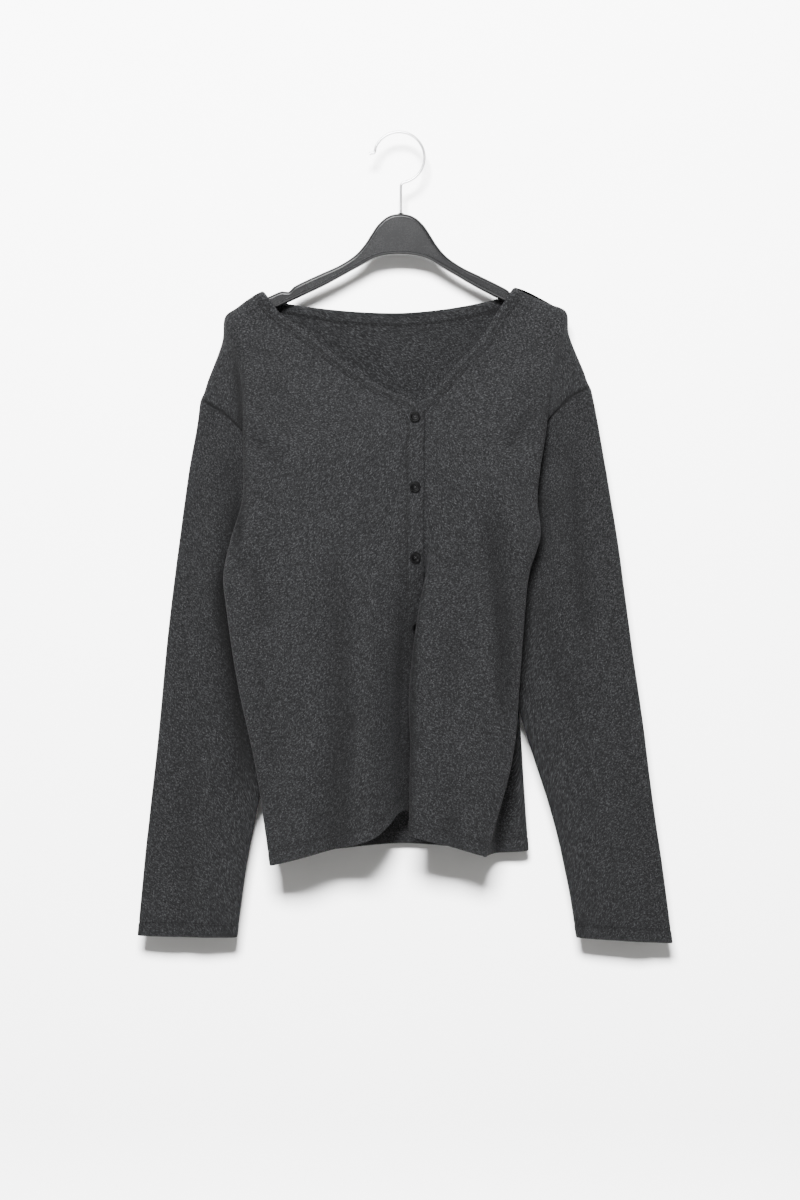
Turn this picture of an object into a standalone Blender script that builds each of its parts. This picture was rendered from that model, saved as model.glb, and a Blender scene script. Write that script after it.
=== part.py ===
"""A V-neck button cardigan hanging on a moulded plastic hanger with a steel wire hook.

Sizes are in millimetres until they reach Blender. Each place is (across, drop, depth): across is
+X, drop is measured down from the inner top of the hook, and depth is +Y, so a front panel has
negative depths. The cloth is worked out from sections: each row of a table is one section round a
panel, from its front edge to its side, and the columns are the lines that run down the cloth.
"""

import math

import bmesh
import bpy
import numpy as np
from mathutils import Matrix, Vector

MM = 0.001
CLOTH_WALL = 2.0
SEAM_GAP = 0.3

# Hanger and hook
HOOK_RADIUS = 27.0
WIRE_RADIUS = 1.5
SHANK_X = 2.0
DOME_TOP = 85.4
HANGER_HALF_DEPTH = 5.0
HANGER_EDGE_RADIUS = 3.0
BORE_DEPTH = 22.0

# Buttons
BUTTON_RADIUS = 5.7
BUTTON_HEIGHT = 2.4
BUTTON_FIRST = 303.0
BUTTON_SPACING = 73.5
BUTTON_COUNT = 6

# Cloth turns
FRONT_RETURN = -15.0
BACK_FOLD_HALF = 4.0
TUCK = 5.0
CROWN = 4.0
FOLD_ROUND = 7.0
ARMHOLE_ROW = 7
SIDE_SEAM_TRIM = 1.15
SHOULDER_TRIM = 1.0
ARMHOLE_TRIM = 0.35
SLEEVE_EASE = 0.6
UNDERARM_EASE = 2.0
CORNER_EASE = 1.6
UNDERARM_REACH = 3
MOST_SEAM_BEND = math.radians(120)

BACK_ARMHOLE_DEPTH = (0, 6, 8, 9, 8, 7, 6)

# The wearer's right front, which laps on top. Rows 0 to 7 end on the armhole, the rest on the
# side seam; row 0 is the shoulder seam and the last row is the hem.
# Columns: front edge, placket stitching, lip, side fold, seam.
RIGHT_FRONT = (
    ((-145, 168, 0), (-151, 171, 0), (-160, 176, 0), (-184, 194, 0), (-209, 280, 0)),
    ((-141, 173, -8), (-147, 177, -8), (-157, 182, -8), (-181, 201, -8), (-206, 283, -6)),
    ((-125, 193, -10), (-134, 198, -11), (-147, 204, -12), (-174, 220, -13), (-198, 289, -8)),
    ((-97, 213, -14), (-108, 219, -16), (-123, 226, -17), (-166, 246, -18), (-186, 296, -9)),
    ((-59, 244, -19), (-73, 251, -21), (-91, 260, -23), (-163, 282, -23), (-172, 309, -11)),
    ((-15, 273, -25), (-30, 281, -27), (-53, 290, -29), (-163, 321, -27), (-153, 329, -11)),
    ((22, 294, -30), (5, 303, -31), (-20, 315, -34), (-162, 359, -31), (-115, 363, -9)),
    ((25, 338, -33), (7, 343, -34), (-18, 351, -38), (-163, 390, -33), (-73, 397, 0)),
    ((25, 400, -34), (7, 404, -36), (-20, 409, -41), (-175, 432, -34), (-66, 434, 0)),
    ((25, 453, -31), (6, 454, -36), (-22, 457, -43), (-182, 468, -34), (-72, 486, 0)),
    ((26, 497, -22), (4, 498, -31), (-25, 500, -45), (-179, 502, -34), (-82, 529, 0)),
    ((29, 569, -11), (3, 569, -24), (-28, 574, -47), (-168, 578, -34), (-95, 592, -1)),
    ((29, 643, -9), (2, 646, -22), (-29, 659, -48), (-149, 669, -33), (-118, 675, -4)),
    ((29, 712, -9), (3, 717, -22), (-27, 742, -47), (-134, 772, -30), (-131, 771, -14)),
)

# The wearer's left front, which passes beneath the right one and folds forward below it.
# Columns: front edge, placket stitching, lip, side fold, seam.
LEFT_FRONT = (
    ((123, 164, 0), (129, 167, 0), (140, 172, 0), (177, 189, 0), (202, 268, 0)),
    ((118, 171, -8), (125, 174, -8), (136, 180, -8), (173, 198, -8), (199, 270, -6)),
    ((107, 187, -10), (115, 192, -11), (128, 199, -12), (168, 216, -12), (191, 274, -8)),
    ((87, 219, -14), (98, 226, -16), (114, 232, -17), (161, 246, -17), (182, 279, -9)),
    ((61, 247, -19), (74, 254, -21), (92, 264, -23), (157, 282, -21), (171, 290, -11)),
    ((35, 277, -24), (49, 285, -27), (72, 296, -29), (153, 320, -25), (149, 311, -11)),
    ((9, 299, -24), (32, 311, -27), (62, 325, -33), (147, 358, -29), (110, 347, -9)),
    ((5, 337, -28), (30, 343, -29), (59, 354, -36), (144, 390, -31), (67, 389, 0)),
    ((5, 400, -30), (30, 404, -30), (53, 408, -38), (147, 426, -33), (59, 434, 0)),
    ((5, 453, -26), (30, 455, -27), (34, 457, -38), (135, 465, -34), (67, 486, 0)),
    ((6, 497, -22), (35, 497, -15), (25, 498, -40), (130, 507, -35), (78, 529, 0)),
    ((8, 568, -13), (39, 571, -3), (15, 574, -42), (125, 578, -36), (96, 592, 0)),
    ((8, 642, -11), (41, 648, 0), (13, 653, -43), (118, 658, -37), (104, 660, -6)),
    ((8, 716, -11), (41, 727, 0), (11, 738, -44), (91, 762, -38), (92, 763, -20)),
)

# The back's right side. Columns: side fold, neck point, nape.
BACK_RIGHT = (
    ((-184, 194, 0), (-145, 168, 0), (-139, 175, 8)),
    ((-183, 199, 8), (-141, 173, 8), (-136, 178, 9)),
    ((-179, 218, 11), (-131, 194, 12), (-126, 196, 12)),
    ((-172, 243, 13), (-116, 228, 14), (-108, 228, 14)),
    ((-166, 279, 14), (-108, 262, 16), (-98, 262, 16)),
    ((-163, 318, 15), (-102, 297, 17), (-90, 297, 17)),
    ((-162, 356, 15), (-99, 335, 18), (-88, 335, 18)),
    ((-163, 388, 15), (-98, 372, 19), (-87, 372, 19)),
    ((-172, 431, 15), (-97, 420, 19), (-86, 420, 19)),
    ((-177, 473, 15), (-96, 468, 19), (-85, 468, 19)),
    ((-176, 507, 15), (-95, 507, 19), (-84, 507, 19)),
    ((-166, 582, 15), (-91, 580, 19), (-80, 580, 19)),
    ((-148, 671, 13), (-84, 670, 18), (-74, 670, 18)),
    ((-133, 763, 9), (-76, 760, 15), (-66, 759, 16)),
)

# The back's middle line.
BACK_MIDDLE = (
    (3, 190, 10), (3, 193, 11), (3, 207, 12), (3, 228, 14), (3, 260, 16),
    (3, 294, 17), (3, 332, 18), (3, 369, 19), (3, 418, 19), (3, 465, 19),
    (3, 505, 19), (3, 576, 19), (3, 663, 19), (3, 753, 17),
)

# The back's left side. Columns: nape, neck point, side fold.
BACK_LEFT = (
    ((117, 171, 8), (123, 164, 0), (177, 189, 0)),
    ((115, 174, 9), (119, 170, 8), (175, 195, 8)),
    ((107, 193, 12), (110, 191, 12), (169, 214, 11)),
    ((90, 226, 14), (97, 226, 14), (163, 243, 13)),
    ((82, 260, 16), (91, 260, 16), (158, 279, 14)),
    ((76, 294, 17), (86, 294, 17), (154, 318, 15)),
    ((74, 332, 18), (84, 332, 18), (149, 356, 15)),
    ((73, 371, 19), (84, 371, 19), (147, 388, 15)),
    ((73, 418, 19), (84, 418, 19), (147, 426, 15)),
    ((74, 465, 19), (85, 465, 19), (141, 468, 15)),
    ((75, 505, 19), (86, 505, 19), (134, 507, 15)),
    ((78, 578, 18), (89, 578, 18), (127, 582, 14)),
    ((78, 664, 17), (89, 665, 17), (131, 667, 12)),
    ((72, 758, 15), (82, 759, 15), (137, 760, 10)),
)
BACK = tuple((*right, middle, *left) for right, middle, left in zip(BACK_RIGHT, BACK_MIDDLE, BACK_LEFT))

# Smooth steps in each span between rows, and between the lines that run down the cloth.
ROW_STEPS = (3, 1, 1, 1, 1, 2, 2, 1, 1, 1, 2, 2, 2)
FRONT_STEPS = (2, 3, 2, 3, 2, 2, 3)
BACK_STEPS = (3, 2, 2, 1, 2, 1, 4, 4, 1, 2, 1, 2, 2, 3)

# Sleeve rings below the armhole: outer edge (across, drop), inner edge (across, drop).
RIGHT_SLEEVE = (
    (-213, 309, -95, 452),
    (-223, 367, -103, 497),
    (-235, 456, -112, 548),
    (-245, 537, -123, 601),
    (-253, 627, -139, 664),
    (-262, 707, -151, 719),
    (-270, 786, -163, 783),
    (-276, 849, -172, 851),
)
LEFT_SLEEVE = (
    (208, 298, 88, 444),
    (217, 348, 97, 489),
    (231, 436, 107, 537),
    (243, 524, 118, 579),
    (257, 620, 133, 630),
    (270, 719, 161, 717),
    (282, 802, 180, 797),
    (289, 857, 189, 851),
)
SLEEVE_HALF_DEPTH = 7.0
SLEEVE_MIDDLE = -1.5
SLEEVE_STEPS = (2, 1, 1, 1, 1, 1, 1, 1)

# Hanger outline from its middle to the end of an arm, (across from the middle, drop).
HANGER_TOP = (
    (0, 85.4), (13, 88), (24, 97), (31, 107), (38, 118), (48, 129.5), (64, 140.5), (84, 150),
    (102, 158.5), (114, 165), (119, 170), (126, 169.5), (139, 175), (150, 180), (162, 187.5),
    (170, 194), (173, 200),
)
HANGER_BOTTOM = (
    (171, 204), (165, 205), (150, 197), (127, 185), (80, 162), (47, 143.5), (25, 132), (0, 128.6),
)
HANGER_TILT = math.radians(0.95)


def clear_scene():
    for old in list(bpy.data.objects):
        bpy.data.objects.remove(old, do_unlink=True)


def world(point):
    """(across, drop, depth) in millimetres as a place in metres."""
    return Vector((point[0] * MM, point[2] * MM, -point[1] * MM))


def material(name, colour, roughness, metallic=0.0):
    made = bpy.data.materials.new(name)
    made.use_nodes = True
    shader = made.node_tree.nodes["Principled BSDF"]
    shader.inputs["Base Color"].default_value = (*colour, 1.0)
    shader.inputs["Roughness"].default_value = roughness
    shader.inputs["Metallic"].default_value = metallic
    return made


def smooth_through(points, steps):
    """A centripetal Catmull-Rom curve through points[1:-1], with steps[i] pieces in each span."""
    points = np.asarray(points, float)
    made = [points[1]]
    for i, count in enumerate(steps):
        p0, p1, p2, p3 = points[i : i + 4]
        knots = [0.0]
        for a, b in ((p0, p1), (p1, p2), (p2, p3)):
            knots.append(knots[-1] + max(np.linalg.norm(b - a), 0.01) ** 0.5)
        t0, t1, t2, t3 = knots
        for k in range(1, count + 1):
            t = t1 + (t2 - t1) * k / count
            a1 = (t1 - t) / (t1 - t0) * p0 + (t - t0) / (t1 - t0) * p1
            a2 = (t2 - t) / (t2 - t1) * p1 + (t - t1) / (t2 - t1) * p2
            a3 = (t3 - t) / (t3 - t2) * p2 + (t - t2) / (t3 - t2) * p3
            b1 = (t2 - t) / (t2 - t0) * a1 + (t - t0) / (t2 - t0) * a2
            b2 = (t3 - t) / (t3 - t1) * a2 + (t - t1) / (t3 - t1) * a3
            made.append((t2 - t) / (t2 - t1) * b1 + (t - t1) / (t2 - t1) * b2)
    return np.array(made)


def between(a, b, share):
    return np.asarray(a, float) * (1 - share) + np.asarray(b, float) * share


def turn_points(fold, seam, return_depth, inward, row):
    """The two places where the cloth turns under its side fold and comes back to the seam."""
    reach = inward * (seam[0] - fold[0])
    if row < ARMHOLE_ROW:
        under = min(max((row - 3) / 2, 0.0), 1.0)
    else:
        under = min(max(reach / 25, 0.0), 1.0)
    tuck = min(TUCK, 0.5 * reach) if reach > 0 else 0.6 * TUCK
    tuck *= min(max((abs(seam[2] - fold[2]) - 4) / 10, 0.0), 1.0)
    turn = between(fold, seam, 0.3)
    turn[0] += (fold[0] + inward * tuck - turn[0]) * max(under, 0.6)
    turn[2] += (fold[2] + 0.75 * (return_depth - fold[2]) - turn[2]) * under
    pleat = between(turn, seam, 0.7)
    pleat[2] += (return_depth - pleat[2]) * under
    return turn, pleat


def seam_of(front_row, row, side):
    """The end of a section: the armholes part above the underarm, and meet in one seam below."""
    seam = np.array(front_row[4], float)
    if side == "back" and row < ARMHOLE_ROW:
        seam[2] = BACK_ARMHOLE_DEPTH[row]
    return seam


def front_section(front_row, row, inward):
    edge, placket, lip, fold, _ = (np.array(p, float) for p in front_row)
    seam = seam_of(front_row, row, "front")
    turn, pleat = turn_points(fold, seam, FRONT_RETURN, inward, row)
    middle = between(lip, fold, 0.5)
    middle[2] -= CROWN * min(row / 3, 1.0)
    return [edge, placket, lip, middle, fold, turn, pleat, seam]


def back_end(front_row, back_fold, back_flat, row, inward):
    """From the seam round the back's side fold: seam, pleat, turn, fold and the flat behind it."""
    seam = seam_of(front_row, row, "back")
    fold = np.array(back_fold, float)
    turn, pleat = turn_points(fold, seam, fold[2] - BACK_FOLD_HALF, inward, row)
    level = between(fold, back_flat, FOLD_ROUND / abs(back_flat[0] - fold[0]))
    level[2] = 0.2 * fold[2] + 0.8 * back_flat[2]
    return [seam, pleat, turn, fold, level]


def past_armhole(seam, inward):
    """Where the cloth heads beyond an armhole edge: out and down into the sleeve."""
    return seam + np.array((-10.0 * inward, 10.0, 1.0 if seam[2] < 0 else -1.0))


def back_side(back_row, inward):
    """The fold and neck columns on one side of the back."""
    return back_row[:2] if inward > 0 else back_row[:-3:-1]


def front_rows(front, back, inward):
    """The sampled sections of a front, each with the seam's far neighbour as its tangent."""
    rows = []
    for row, front_row in enumerate(front):
        section = front_section(front_row, row, inward)
        start = 2 * section[0] - section[1]
        if row < ARMHOLE_ROW:
            end = past_armhole(section[-1], inward)
        else:
            end = back_end(front_row, *back_side(back[row], inward), row, inward)[1]
        rows.append(smooth_through([start, *section, end], FRONT_STEPS))
    return np.array(rows)


def back_rows():
    rows = []
    for row, back_row in enumerate(BACK):
        right = back_end(RIGHT_FRONT[row], *back_side(back_row, 1), row, 1)
        left = back_end(LEFT_FRONT[row], *back_side(back_row, -1), row, -1)
        section = [*right, *(np.array(p, float) for p in back_row[1:-1]), *reversed(left)]
        if row < ARMHOLE_ROW:
            start = past_armhole(section[0], 1)
            end = past_armhole(section[-1], -1)
        else:
            start = front_section(RIGHT_FRONT[row], row, 1)[-2]
            end = front_section(LEFT_FRONT[row], row, -1)[-2]
        rows.append(smooth_through([start, *section, end], BACK_STEPS))
    return np.array(rows)


def fill_rows(rows, over_shoulder):
    """Smooths the sections into a grid; the cloth crosses the shoulder seam level."""
    grid = []
    for column in range(rows.shape[1]):
        line = rows[:, column]
        before = line[1] * (1, 1, -1)
        if not over_shoulder[column]:
            before = 2 * line[0] - line[1]
        after = 2 * line[-1] - line[-2]
        grid.append(smooth_through([before, *line, after], ROW_STEPS))
    return np.array(grid).transpose(1, 0, 2)


def trim(line, amount):
    """Moves the first point of a line along it."""
    run = line[1] - line[0]
    line[0] += run * (amount / np.linalg.norm(run))


def trim_grid(grid, first=False, last=False, top=False):
    """Draws the sewn edges of a panel back by half of the gap."""
    underarm = sum(ROW_STEPS[:ARMHOLE_ROW])
    for number, row in enumerate(grid):
        amount = ARMHOLE_TRIM if number < underarm else SIDE_SEAM_TRIM
        if first:
            trim(row, amount)
        if last:
            trim(row[::-1], amount)
    if top:
        for column in range(grid.shape[1]):
            trim(grid[:, column], SHOULDER_TRIM)
    return grid


def front_grid(front, inward):
    rows = front_rows(front, BACK, inward)
    grid = fill_rows(rows, [True] * rows.shape[1])
    return trim_grid(grid, last=True, top=True)


def back_grid():
    rows = back_rows()
    neck_first = sum(BACK_STEPS[:5])
    neck_last = sum(BACK_STEPS[:9])
    shoulder = [not neck_first < c < neck_last for c in range(rows.shape[1])]
    return trim_grid(fill_rows(rows, shoulder), first=True, last=True, top=True)


def armhole_rail(column):
    """The armhole edge as the panel's grid has it, from the shoulder to the underarm."""
    return column[: sum(ROW_STEPS[:ARMHOLE_ROW]) + 1]


def sleeve_grid(front, back_side, rings, inward):
    """Rings round the sleeve: down the front from its outer edge, then back round behind."""
    rows = front_rows(front, BACK, inward)
    level = fill_rows(rows, [True] * rows.shape[1])
    front_edge = armhole_rail(level[:, -1])
    front_near = armhole_rail(level[:, -3])
    rows = back_rows()
    level = fill_rows(rows, [True] * rows.shape[1])
    edge, near = (0, 2) if back_side == "first" else (-1, -3)
    back_edge = armhole_rail(level[:, edge])
    back_near = armhole_rail(level[:, near])
    first = np.vstack([front_edge, back_edge[-2:0:-1]])
    before = np.vstack([front_near, back_near[-2:0:-1]])
    half = len(front_edge) - 1
    share = np.abs(first[:, 0] - first[0, 0]) / abs(first[half, 0] - first[0, 0])
    even = (1 - np.cos(np.arange(2 * half) * math.pi / half)) / 2
    lines = [before, first]
    for number, (outer_x, outer_drop, inner_x, inner_drop) in enumerate(rings):
        blend = min((number + 1) / 3, 1.0)
        across = share * (1 - blend) + even * blend
        angle = np.arccos(np.clip(1 - 2 * across, -1, 1))
        sign = np.where(np.arange(2 * half) <= half, -1.0, 1.0)
        depth = SLEEVE_MIDDLE + sign * SLEEVE_HALF_DEPTH * np.abs(np.sin(angle)) ** 0.7
        ring = np.stack(
            [outer_x + (inner_x - outer_x) * across, outer_drop + (inner_drop - outer_drop) * across, depth],
            axis=1,
        )
        lines.append(ring)
    lines.append(2 * lines[-1] - lines[-2])
    grid = []
    for column in range(2 * half):
        grid.append(smooth_through([line[column] for line in lines], SLEEVE_STEPS))
    grid = np.array(grid).transpose(1, 0, 2)
    for column in range(grid.shape[1]):
        ahead = grid[1, column] - first[column]
        behind = first[column] - before[column]
        cosine = np.dot(ahead, behind) / (np.linalg.norm(ahead) * np.linalg.norm(behind))
        bend = math.acos(max(-1.0, min(1.0, cosine)))
        corner = math.tan(min(bend, MOST_SEAM_BEND) / 2) * CLOTH_WALL / 2
        near = max(1 - abs(column - half) / UNDERARM_REACH, 0.0)
        amount = ARMHOLE_TRIM + SLEEVE_EASE + UNDERARM_EASE * near + CORNER_EASE * corner
        trim(grid[:, column], amount)
    return grid


def surface_object(name, grid, finish, collection, closed=False, flip=False):
    """An open sheet of quads through the grid, thickened to the cloth's wall."""
    mesh = bpy.data.meshes.new(name)
    shape = bmesh.new()
    corners = [[shape.verts.new(world(p)) for p in row] for row in grid]
    across = grid.shape[1]
    for row in range(grid.shape[0] - 1):
        for column in range(across if closed else across - 1):
            following = (column + 1) % across
            ring = (
                corners[row][column],
                corners[row + 1][column],
                corners[row + 1][following],
                corners[row][following],
            )
            shape.faces.new(ring[::-1] if flip else ring)
    shape.to_mesh(mesh)
    shape.free()
    mesh.shade_smooth()
    mesh.materials.append(finish)
    made = bpy.data.objects.new(name, mesh)
    collection.objects.link(made)
    wall = made.modifiers.new("Wall", "SOLIDIFY")
    wall.thickness = CLOTH_WALL * MM
    wall.offset = 0.0
    wall.use_even_offset = False
    return made


def make_hook(finish, collection):
    """The wire: a flared tip, three quarters of a circle, a bend and a straight shank."""
    centre_drop = HOOK_RADIUS - WIRE_RADIUS
    path = [(-31.0, 21.5, 1.5), (-30.6, 21.3, 1.5), (-29.0, 20.9, 1.0)]
    for degrees in range(168, -79, -12):
        angle = math.radians(degrees)
        path.append((HOOK_RADIUS * math.cos(angle), centre_drop - HOOK_RADIUS * math.sin(angle), 1.0))
    path[3] = (-26.2, 20.6, 1.0)
    path += [(3.6, 52.9, 1.0), (2.3, 54.6, 1.0), (SHANK_X, 57.0, 1.0), (SHANK_X, 70.0, 1.0)]
    path.append((SHANK_X, DOME_TOP + BORE_DEPTH - 4.0, 1.0))
    curve = bpy.data.curves.new("hanger_hook", "CURVE")
    curve.dimensions = "3D"
    curve.bevel_depth = WIRE_RADIUS * MM
    curve.bevel_resolution = 3
    curve.use_fill_caps = True
    line = curve.splines.new("POLY")
    line.points.add(len(path) - 1)
    for point, (across, drop, radius) in zip(line.points, path):
        point.co = (*world((across, drop, 0)), 1.0)
        point.radius = radius
    curve.materials.append(finish)
    hook = bpy.data.objects.new("hanger_hook", curve)
    collection.objects.link(hook)
    return hook


def make_hanger(finish, collection, cutters):
    """The moulded arms: one flat outline with rounded edges, bored for the shank."""
    half = list(HANGER_TOP) + list(HANGER_BOTTOM)
    tilt = math.tan(HANGER_TILT)
    outline = [(SHANK_X - across, drop - across * tilt) for across, drop in half]
    outline += [(SHANK_X + across, drop + across * tilt) for across, drop in half[-2:0:-1]]
    curve = bpy.data.curves.new("hanger_outline", "CURVE")
    curve.dimensions = "2D"
    curve.fill_mode = "BOTH"
    curve.extrude = (HANGER_HALF_DEPTH - HANGER_EDGE_RADIUS) * MM
    curve.bevel_depth = HANGER_EDGE_RADIUS * MM
    curve.offset = -HANGER_EDGE_RADIUS * MM
    curve.bevel_resolution = 2
    line = curve.splines.new("POLY")
    line.points.add(len(outline) - 1)
    for point, (across, drop) in zip(line.points, outline):
        point.co = (across * MM, -drop * MM, 0.0, 1.0)
    line.use_cyclic_u = True
    guide = bpy.data.objects.new("hanger_outline", curve)
    collection.objects.link(guide)
    guide.rotation_euler = (math.pi / 2, 0.0, 0.0)
    bpy.context.view_layer.update()
    mesh = bpy.data.meshes.new_from_object(guide.evaluated_get(bpy.context.evaluated_depsgraph_get()))
    place = guide.matrix_world.copy()
    bpy.data.objects.remove(guide)
    shape = bmesh.new()
    shape.from_mesh(mesh)
    bmesh.ops.remove_doubles(shape, verts=shape.verts, dist=0.00001)
    bmesh.ops.recalc_face_normals(shape, faces=shape.faces)
    shape.to_mesh(mesh)
    shape.free()
    mesh.materials.clear()
    mesh.materials.append(finish)
    hanger = bpy.data.objects.new("hanger_body", mesh)
    hanger.matrix_world = place
    collection.objects.link(hanger)
    hanger.data.shade_smooth()
    hanger.data.set_sharp_from_angle(angle=math.radians(40))

    bpy.ops.mesh.primitive_cylinder_add(
        vertices=16,
        radius=(WIRE_RADIUS + SEAM_GAP + 0.1) * MM,
        depth=2 * BORE_DEPTH * MM,
        location=world((SHANK_X, DOME_TOP, 0)),
    )
    bore = bpy.context.object
    bore.name = "shank_bore"
    for linked in list(bore.users_collection):
        linked.objects.unlink(bore)
    cutters.objects.link(bore)
    bore.hide_render = True
    bore.display_type = "WIRE"
    cut = hanger.modifiers.new("Bore", "BOOLEAN")
    cut.object = bore
    cut.operation = "DIFFERENCE"
    cut.solver = "EXACT"
    return hanger


def placket_place(grid, drop):
    """A place midway across the placket, and the cloth's outward direction there."""
    column = grid[:, 1]
    row = int(np.argmin(np.abs(column[:, 1] - drop)))
    if column[row, 1] > drop:
        row -= 1
    share = (drop - column[row, 1]) / (column[row + 1, 1] - column[row, 1])
    place = between(column[row], column[row + 1], share)
    across = between(grid[row, 0] - grid[row, 2], grid[row + 1, 0] - grid[row + 1, 2], share)
    down = column[row + 1] - column[row]
    outward = np.cross(across, down)
    outward /= np.linalg.norm(outward)
    return place, outward if outward[2] < 0 else -outward


def make_button(number, grid, finish, collection):
    """A turned button with a raised rim, lying on the placket."""
    name = f"button_{number + 1}"
    radius = BUTTON_RADIUS
    height = BUTTON_HEIGHT
    profile = (
        (0.0, 0.6 * height), (0.62 * radius, 0.6 * height), (0.74 * radius, height),
        (0.9 * radius, height), (radius, 0.65 * height), (0.96 * radius, 0.2 * height),
        (0.8 * radius, 0.0), (0.0, 0.0),
    )
    mesh = bpy.data.meshes.new(name)
    corners = [(across * MM, 0.0, up * MM) for across, up in profile]
    mesh.from_pydata(corners, [(i, i + 1) for i in range(len(corners) - 1)], [])
    mesh.materials.append(finish)
    button = bpy.data.objects.new(name, mesh)
    collection.objects.link(button)
    turned = button.modifiers.new("Turned", "SCREW")
    turned.steps = 16
    turned.render_steps = 16
    turned.use_merge_vertices = True
    turned.merge_threshold = 0.00001
    turned.use_normal_calculate = True
    place, outward = placket_place(grid, BUTTON_FIRST + number * BUTTON_SPACING)
    place = place + outward * (CLOTH_WALL / 2 + SEAM_GAP)
    facing = (world(place + outward) - world(place)).normalized()
    turn = facing.to_track_quat("Z", "Y").to_matrix().to_4x4()
    button.matrix_world = Matrix.Translation(world(place)) @ turn
    return button


def main():
    clear_scene()
    garment = bpy.data.collections.new("button_cardigan")
    cutters = bpy.data.collections.new("cutters")
    bpy.context.scene.collection.children.link(garment)
    bpy.context.scene.collection.children.link(cutters)
    cutters.hide_render = True

    body_jersey = material("charcoal_jersey", (0.052, 0.053, 0.056), 0.92)
    black_plastic = material("black_plastic", (0.03, 0.03, 0.032), 0.38)
    steel = material("steel_wire", (0.62, 0.62, 0.63), 0.25, 1.0)
    button_black = material("button_black", (0.012, 0.012, 0.013), 0.35)

    make_hook(steel, garment)
    make_hanger(black_plastic, garment, cutters)
    right = front_grid(RIGHT_FRONT, 1)
    surface_object("front_right", right, body_jersey, garment)
    surface_object("front_left", front_grid(LEFT_FRONT, -1), body_jersey, garment, flip=True)
    surface_object("back", back_grid(), body_jersey, garment)
    sleeve = sleeve_grid(RIGHT_FRONT, "first", RIGHT_SLEEVE, 1)
    surface_object("sleeve_right", sleeve, body_jersey, garment, closed=True)
    sleeve = sleeve_grid(LEFT_FRONT, "last", LEFT_SLEEVE, -1)
    surface_object("sleeve_left", sleeve, body_jersey, garment, closed=True, flip=True)
    for number in range(BUTTON_COUNT):
        make_button(number, right, button_black, garment)


main()
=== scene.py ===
# A V-neck button cardigan on a moulded hanger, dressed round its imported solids.
# Cloth places are (across, drop, depth) in millimetres: across is +X, drop is measured down from
# the inner top of the hook, depth is +Y, so what faces the viewer has a negative depth.
import math

import bmesh
import bpy
import numpy as np
from mathutils import Matrix, Vector, noise


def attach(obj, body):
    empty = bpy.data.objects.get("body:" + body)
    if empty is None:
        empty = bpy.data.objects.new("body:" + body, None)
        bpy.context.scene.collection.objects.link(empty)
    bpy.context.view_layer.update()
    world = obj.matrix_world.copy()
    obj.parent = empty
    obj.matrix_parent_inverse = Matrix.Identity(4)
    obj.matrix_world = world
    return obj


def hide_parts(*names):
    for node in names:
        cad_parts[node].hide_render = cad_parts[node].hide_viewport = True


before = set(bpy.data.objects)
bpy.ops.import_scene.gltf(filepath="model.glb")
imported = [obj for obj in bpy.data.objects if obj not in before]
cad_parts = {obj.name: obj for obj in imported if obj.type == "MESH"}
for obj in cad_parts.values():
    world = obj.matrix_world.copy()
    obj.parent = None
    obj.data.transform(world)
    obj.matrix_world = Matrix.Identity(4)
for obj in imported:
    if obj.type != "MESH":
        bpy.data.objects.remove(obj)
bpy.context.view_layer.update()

mm = 0.001

hanger = {
    "shankAcross": 2.0,
    "halfDepth": 5.0,
    "edgeRound": 3.6,
    "tilt": math.radians(0.95),
    "top": (
        (0, 85.4), (13, 88), (24, 97), (31, 107), (38, 118), (48, 129.5), (64, 140.5), (84, 150),
        (102, 158.5), (114, 165), (119, 170), (126, 169.5), (139, 175), (150, 180), (162, 187.5),
        (170, 194), (173, 200),
    ),
    "bottom": (
        (171, 204), (165, 205), (150, 197), (127, 185), (80, 162), (47, 143.5), (25, 132), (0, 128.6),
    ),
}

hook = {"radius": 27.0, "wire": 1.5, "centreDrop": 25.5, "bend": (3.6, 52.9), "shankEnd": 103.4}

# Rows 0 to 7 end on the armhole, the rest on the side seam; the last row is the hem.
# Columns: front edge, placket stitching, lip, side fold, seam.
rightFront = {
    "rows": (
        ((-145, 168, 0), (-151, 171, 0), (-160, 176, 0), (-184, 194, 0), (-209, 280, 0)),
        ((-141, 173, -8), (-147, 177, -8), (-157, 182, -8), (-181, 201, -8), (-206, 283, -6)),
        ((-125, 193, -10), (-134, 198, -11), (-147, 204, -12), (-174, 220, -13), (-198, 289, -8)),
        ((-97, 213, -14), (-108, 219, -16), (-123, 226, -17), (-166, 246, -18), (-186, 296, -9)),
        ((-59, 244, -19), (-73, 251, -21), (-91, 260, -23), (-163, 282, -23), (-172, 309, -11)),
        ((-15, 273, -25), (-30, 281, -27), (-53, 290, -29), (-163, 321, -27), (-153, 329, -11)),
        ((22, 294, -30), (5, 303, -31), (-20, 315, -34), (-162, 359, -31), (-115, 363, -9)),
        ((25, 338, -33), (7, 343, -34), (-18, 351, -38), (-163, 390, -33), (-73, 397, 0)),
        ((25, 400, -34), (7, 404, -36), (-20, 409, -41), (-175, 432, -34), (-66, 434, 0)),
        ((25, 453, -31), (6, 454, -36), (-22, 457, -43), (-182, 468, -34), (-72, 486, 0)),
        ((26, 497, -22), (4, 498, -31), (-25, 500, -45), (-179, 502, -34), (-82, 529, 0)),
        ((29, 569, -11), (3, 569, -24), (-28, 574, -47), (-168, 578, -34), (-95, 592, -1)),
        ((29, 643, -9), (2, 646, -22), (-29, 659, -48), (-149, 669, -33), (-118, 675, -4)),
        ((29, 712, -9), (3, 717, -22), (-27, 742, -47), (-134, 772, -30), (-131, 771, -14)),
    ),
    "inward": 1,
}

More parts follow.
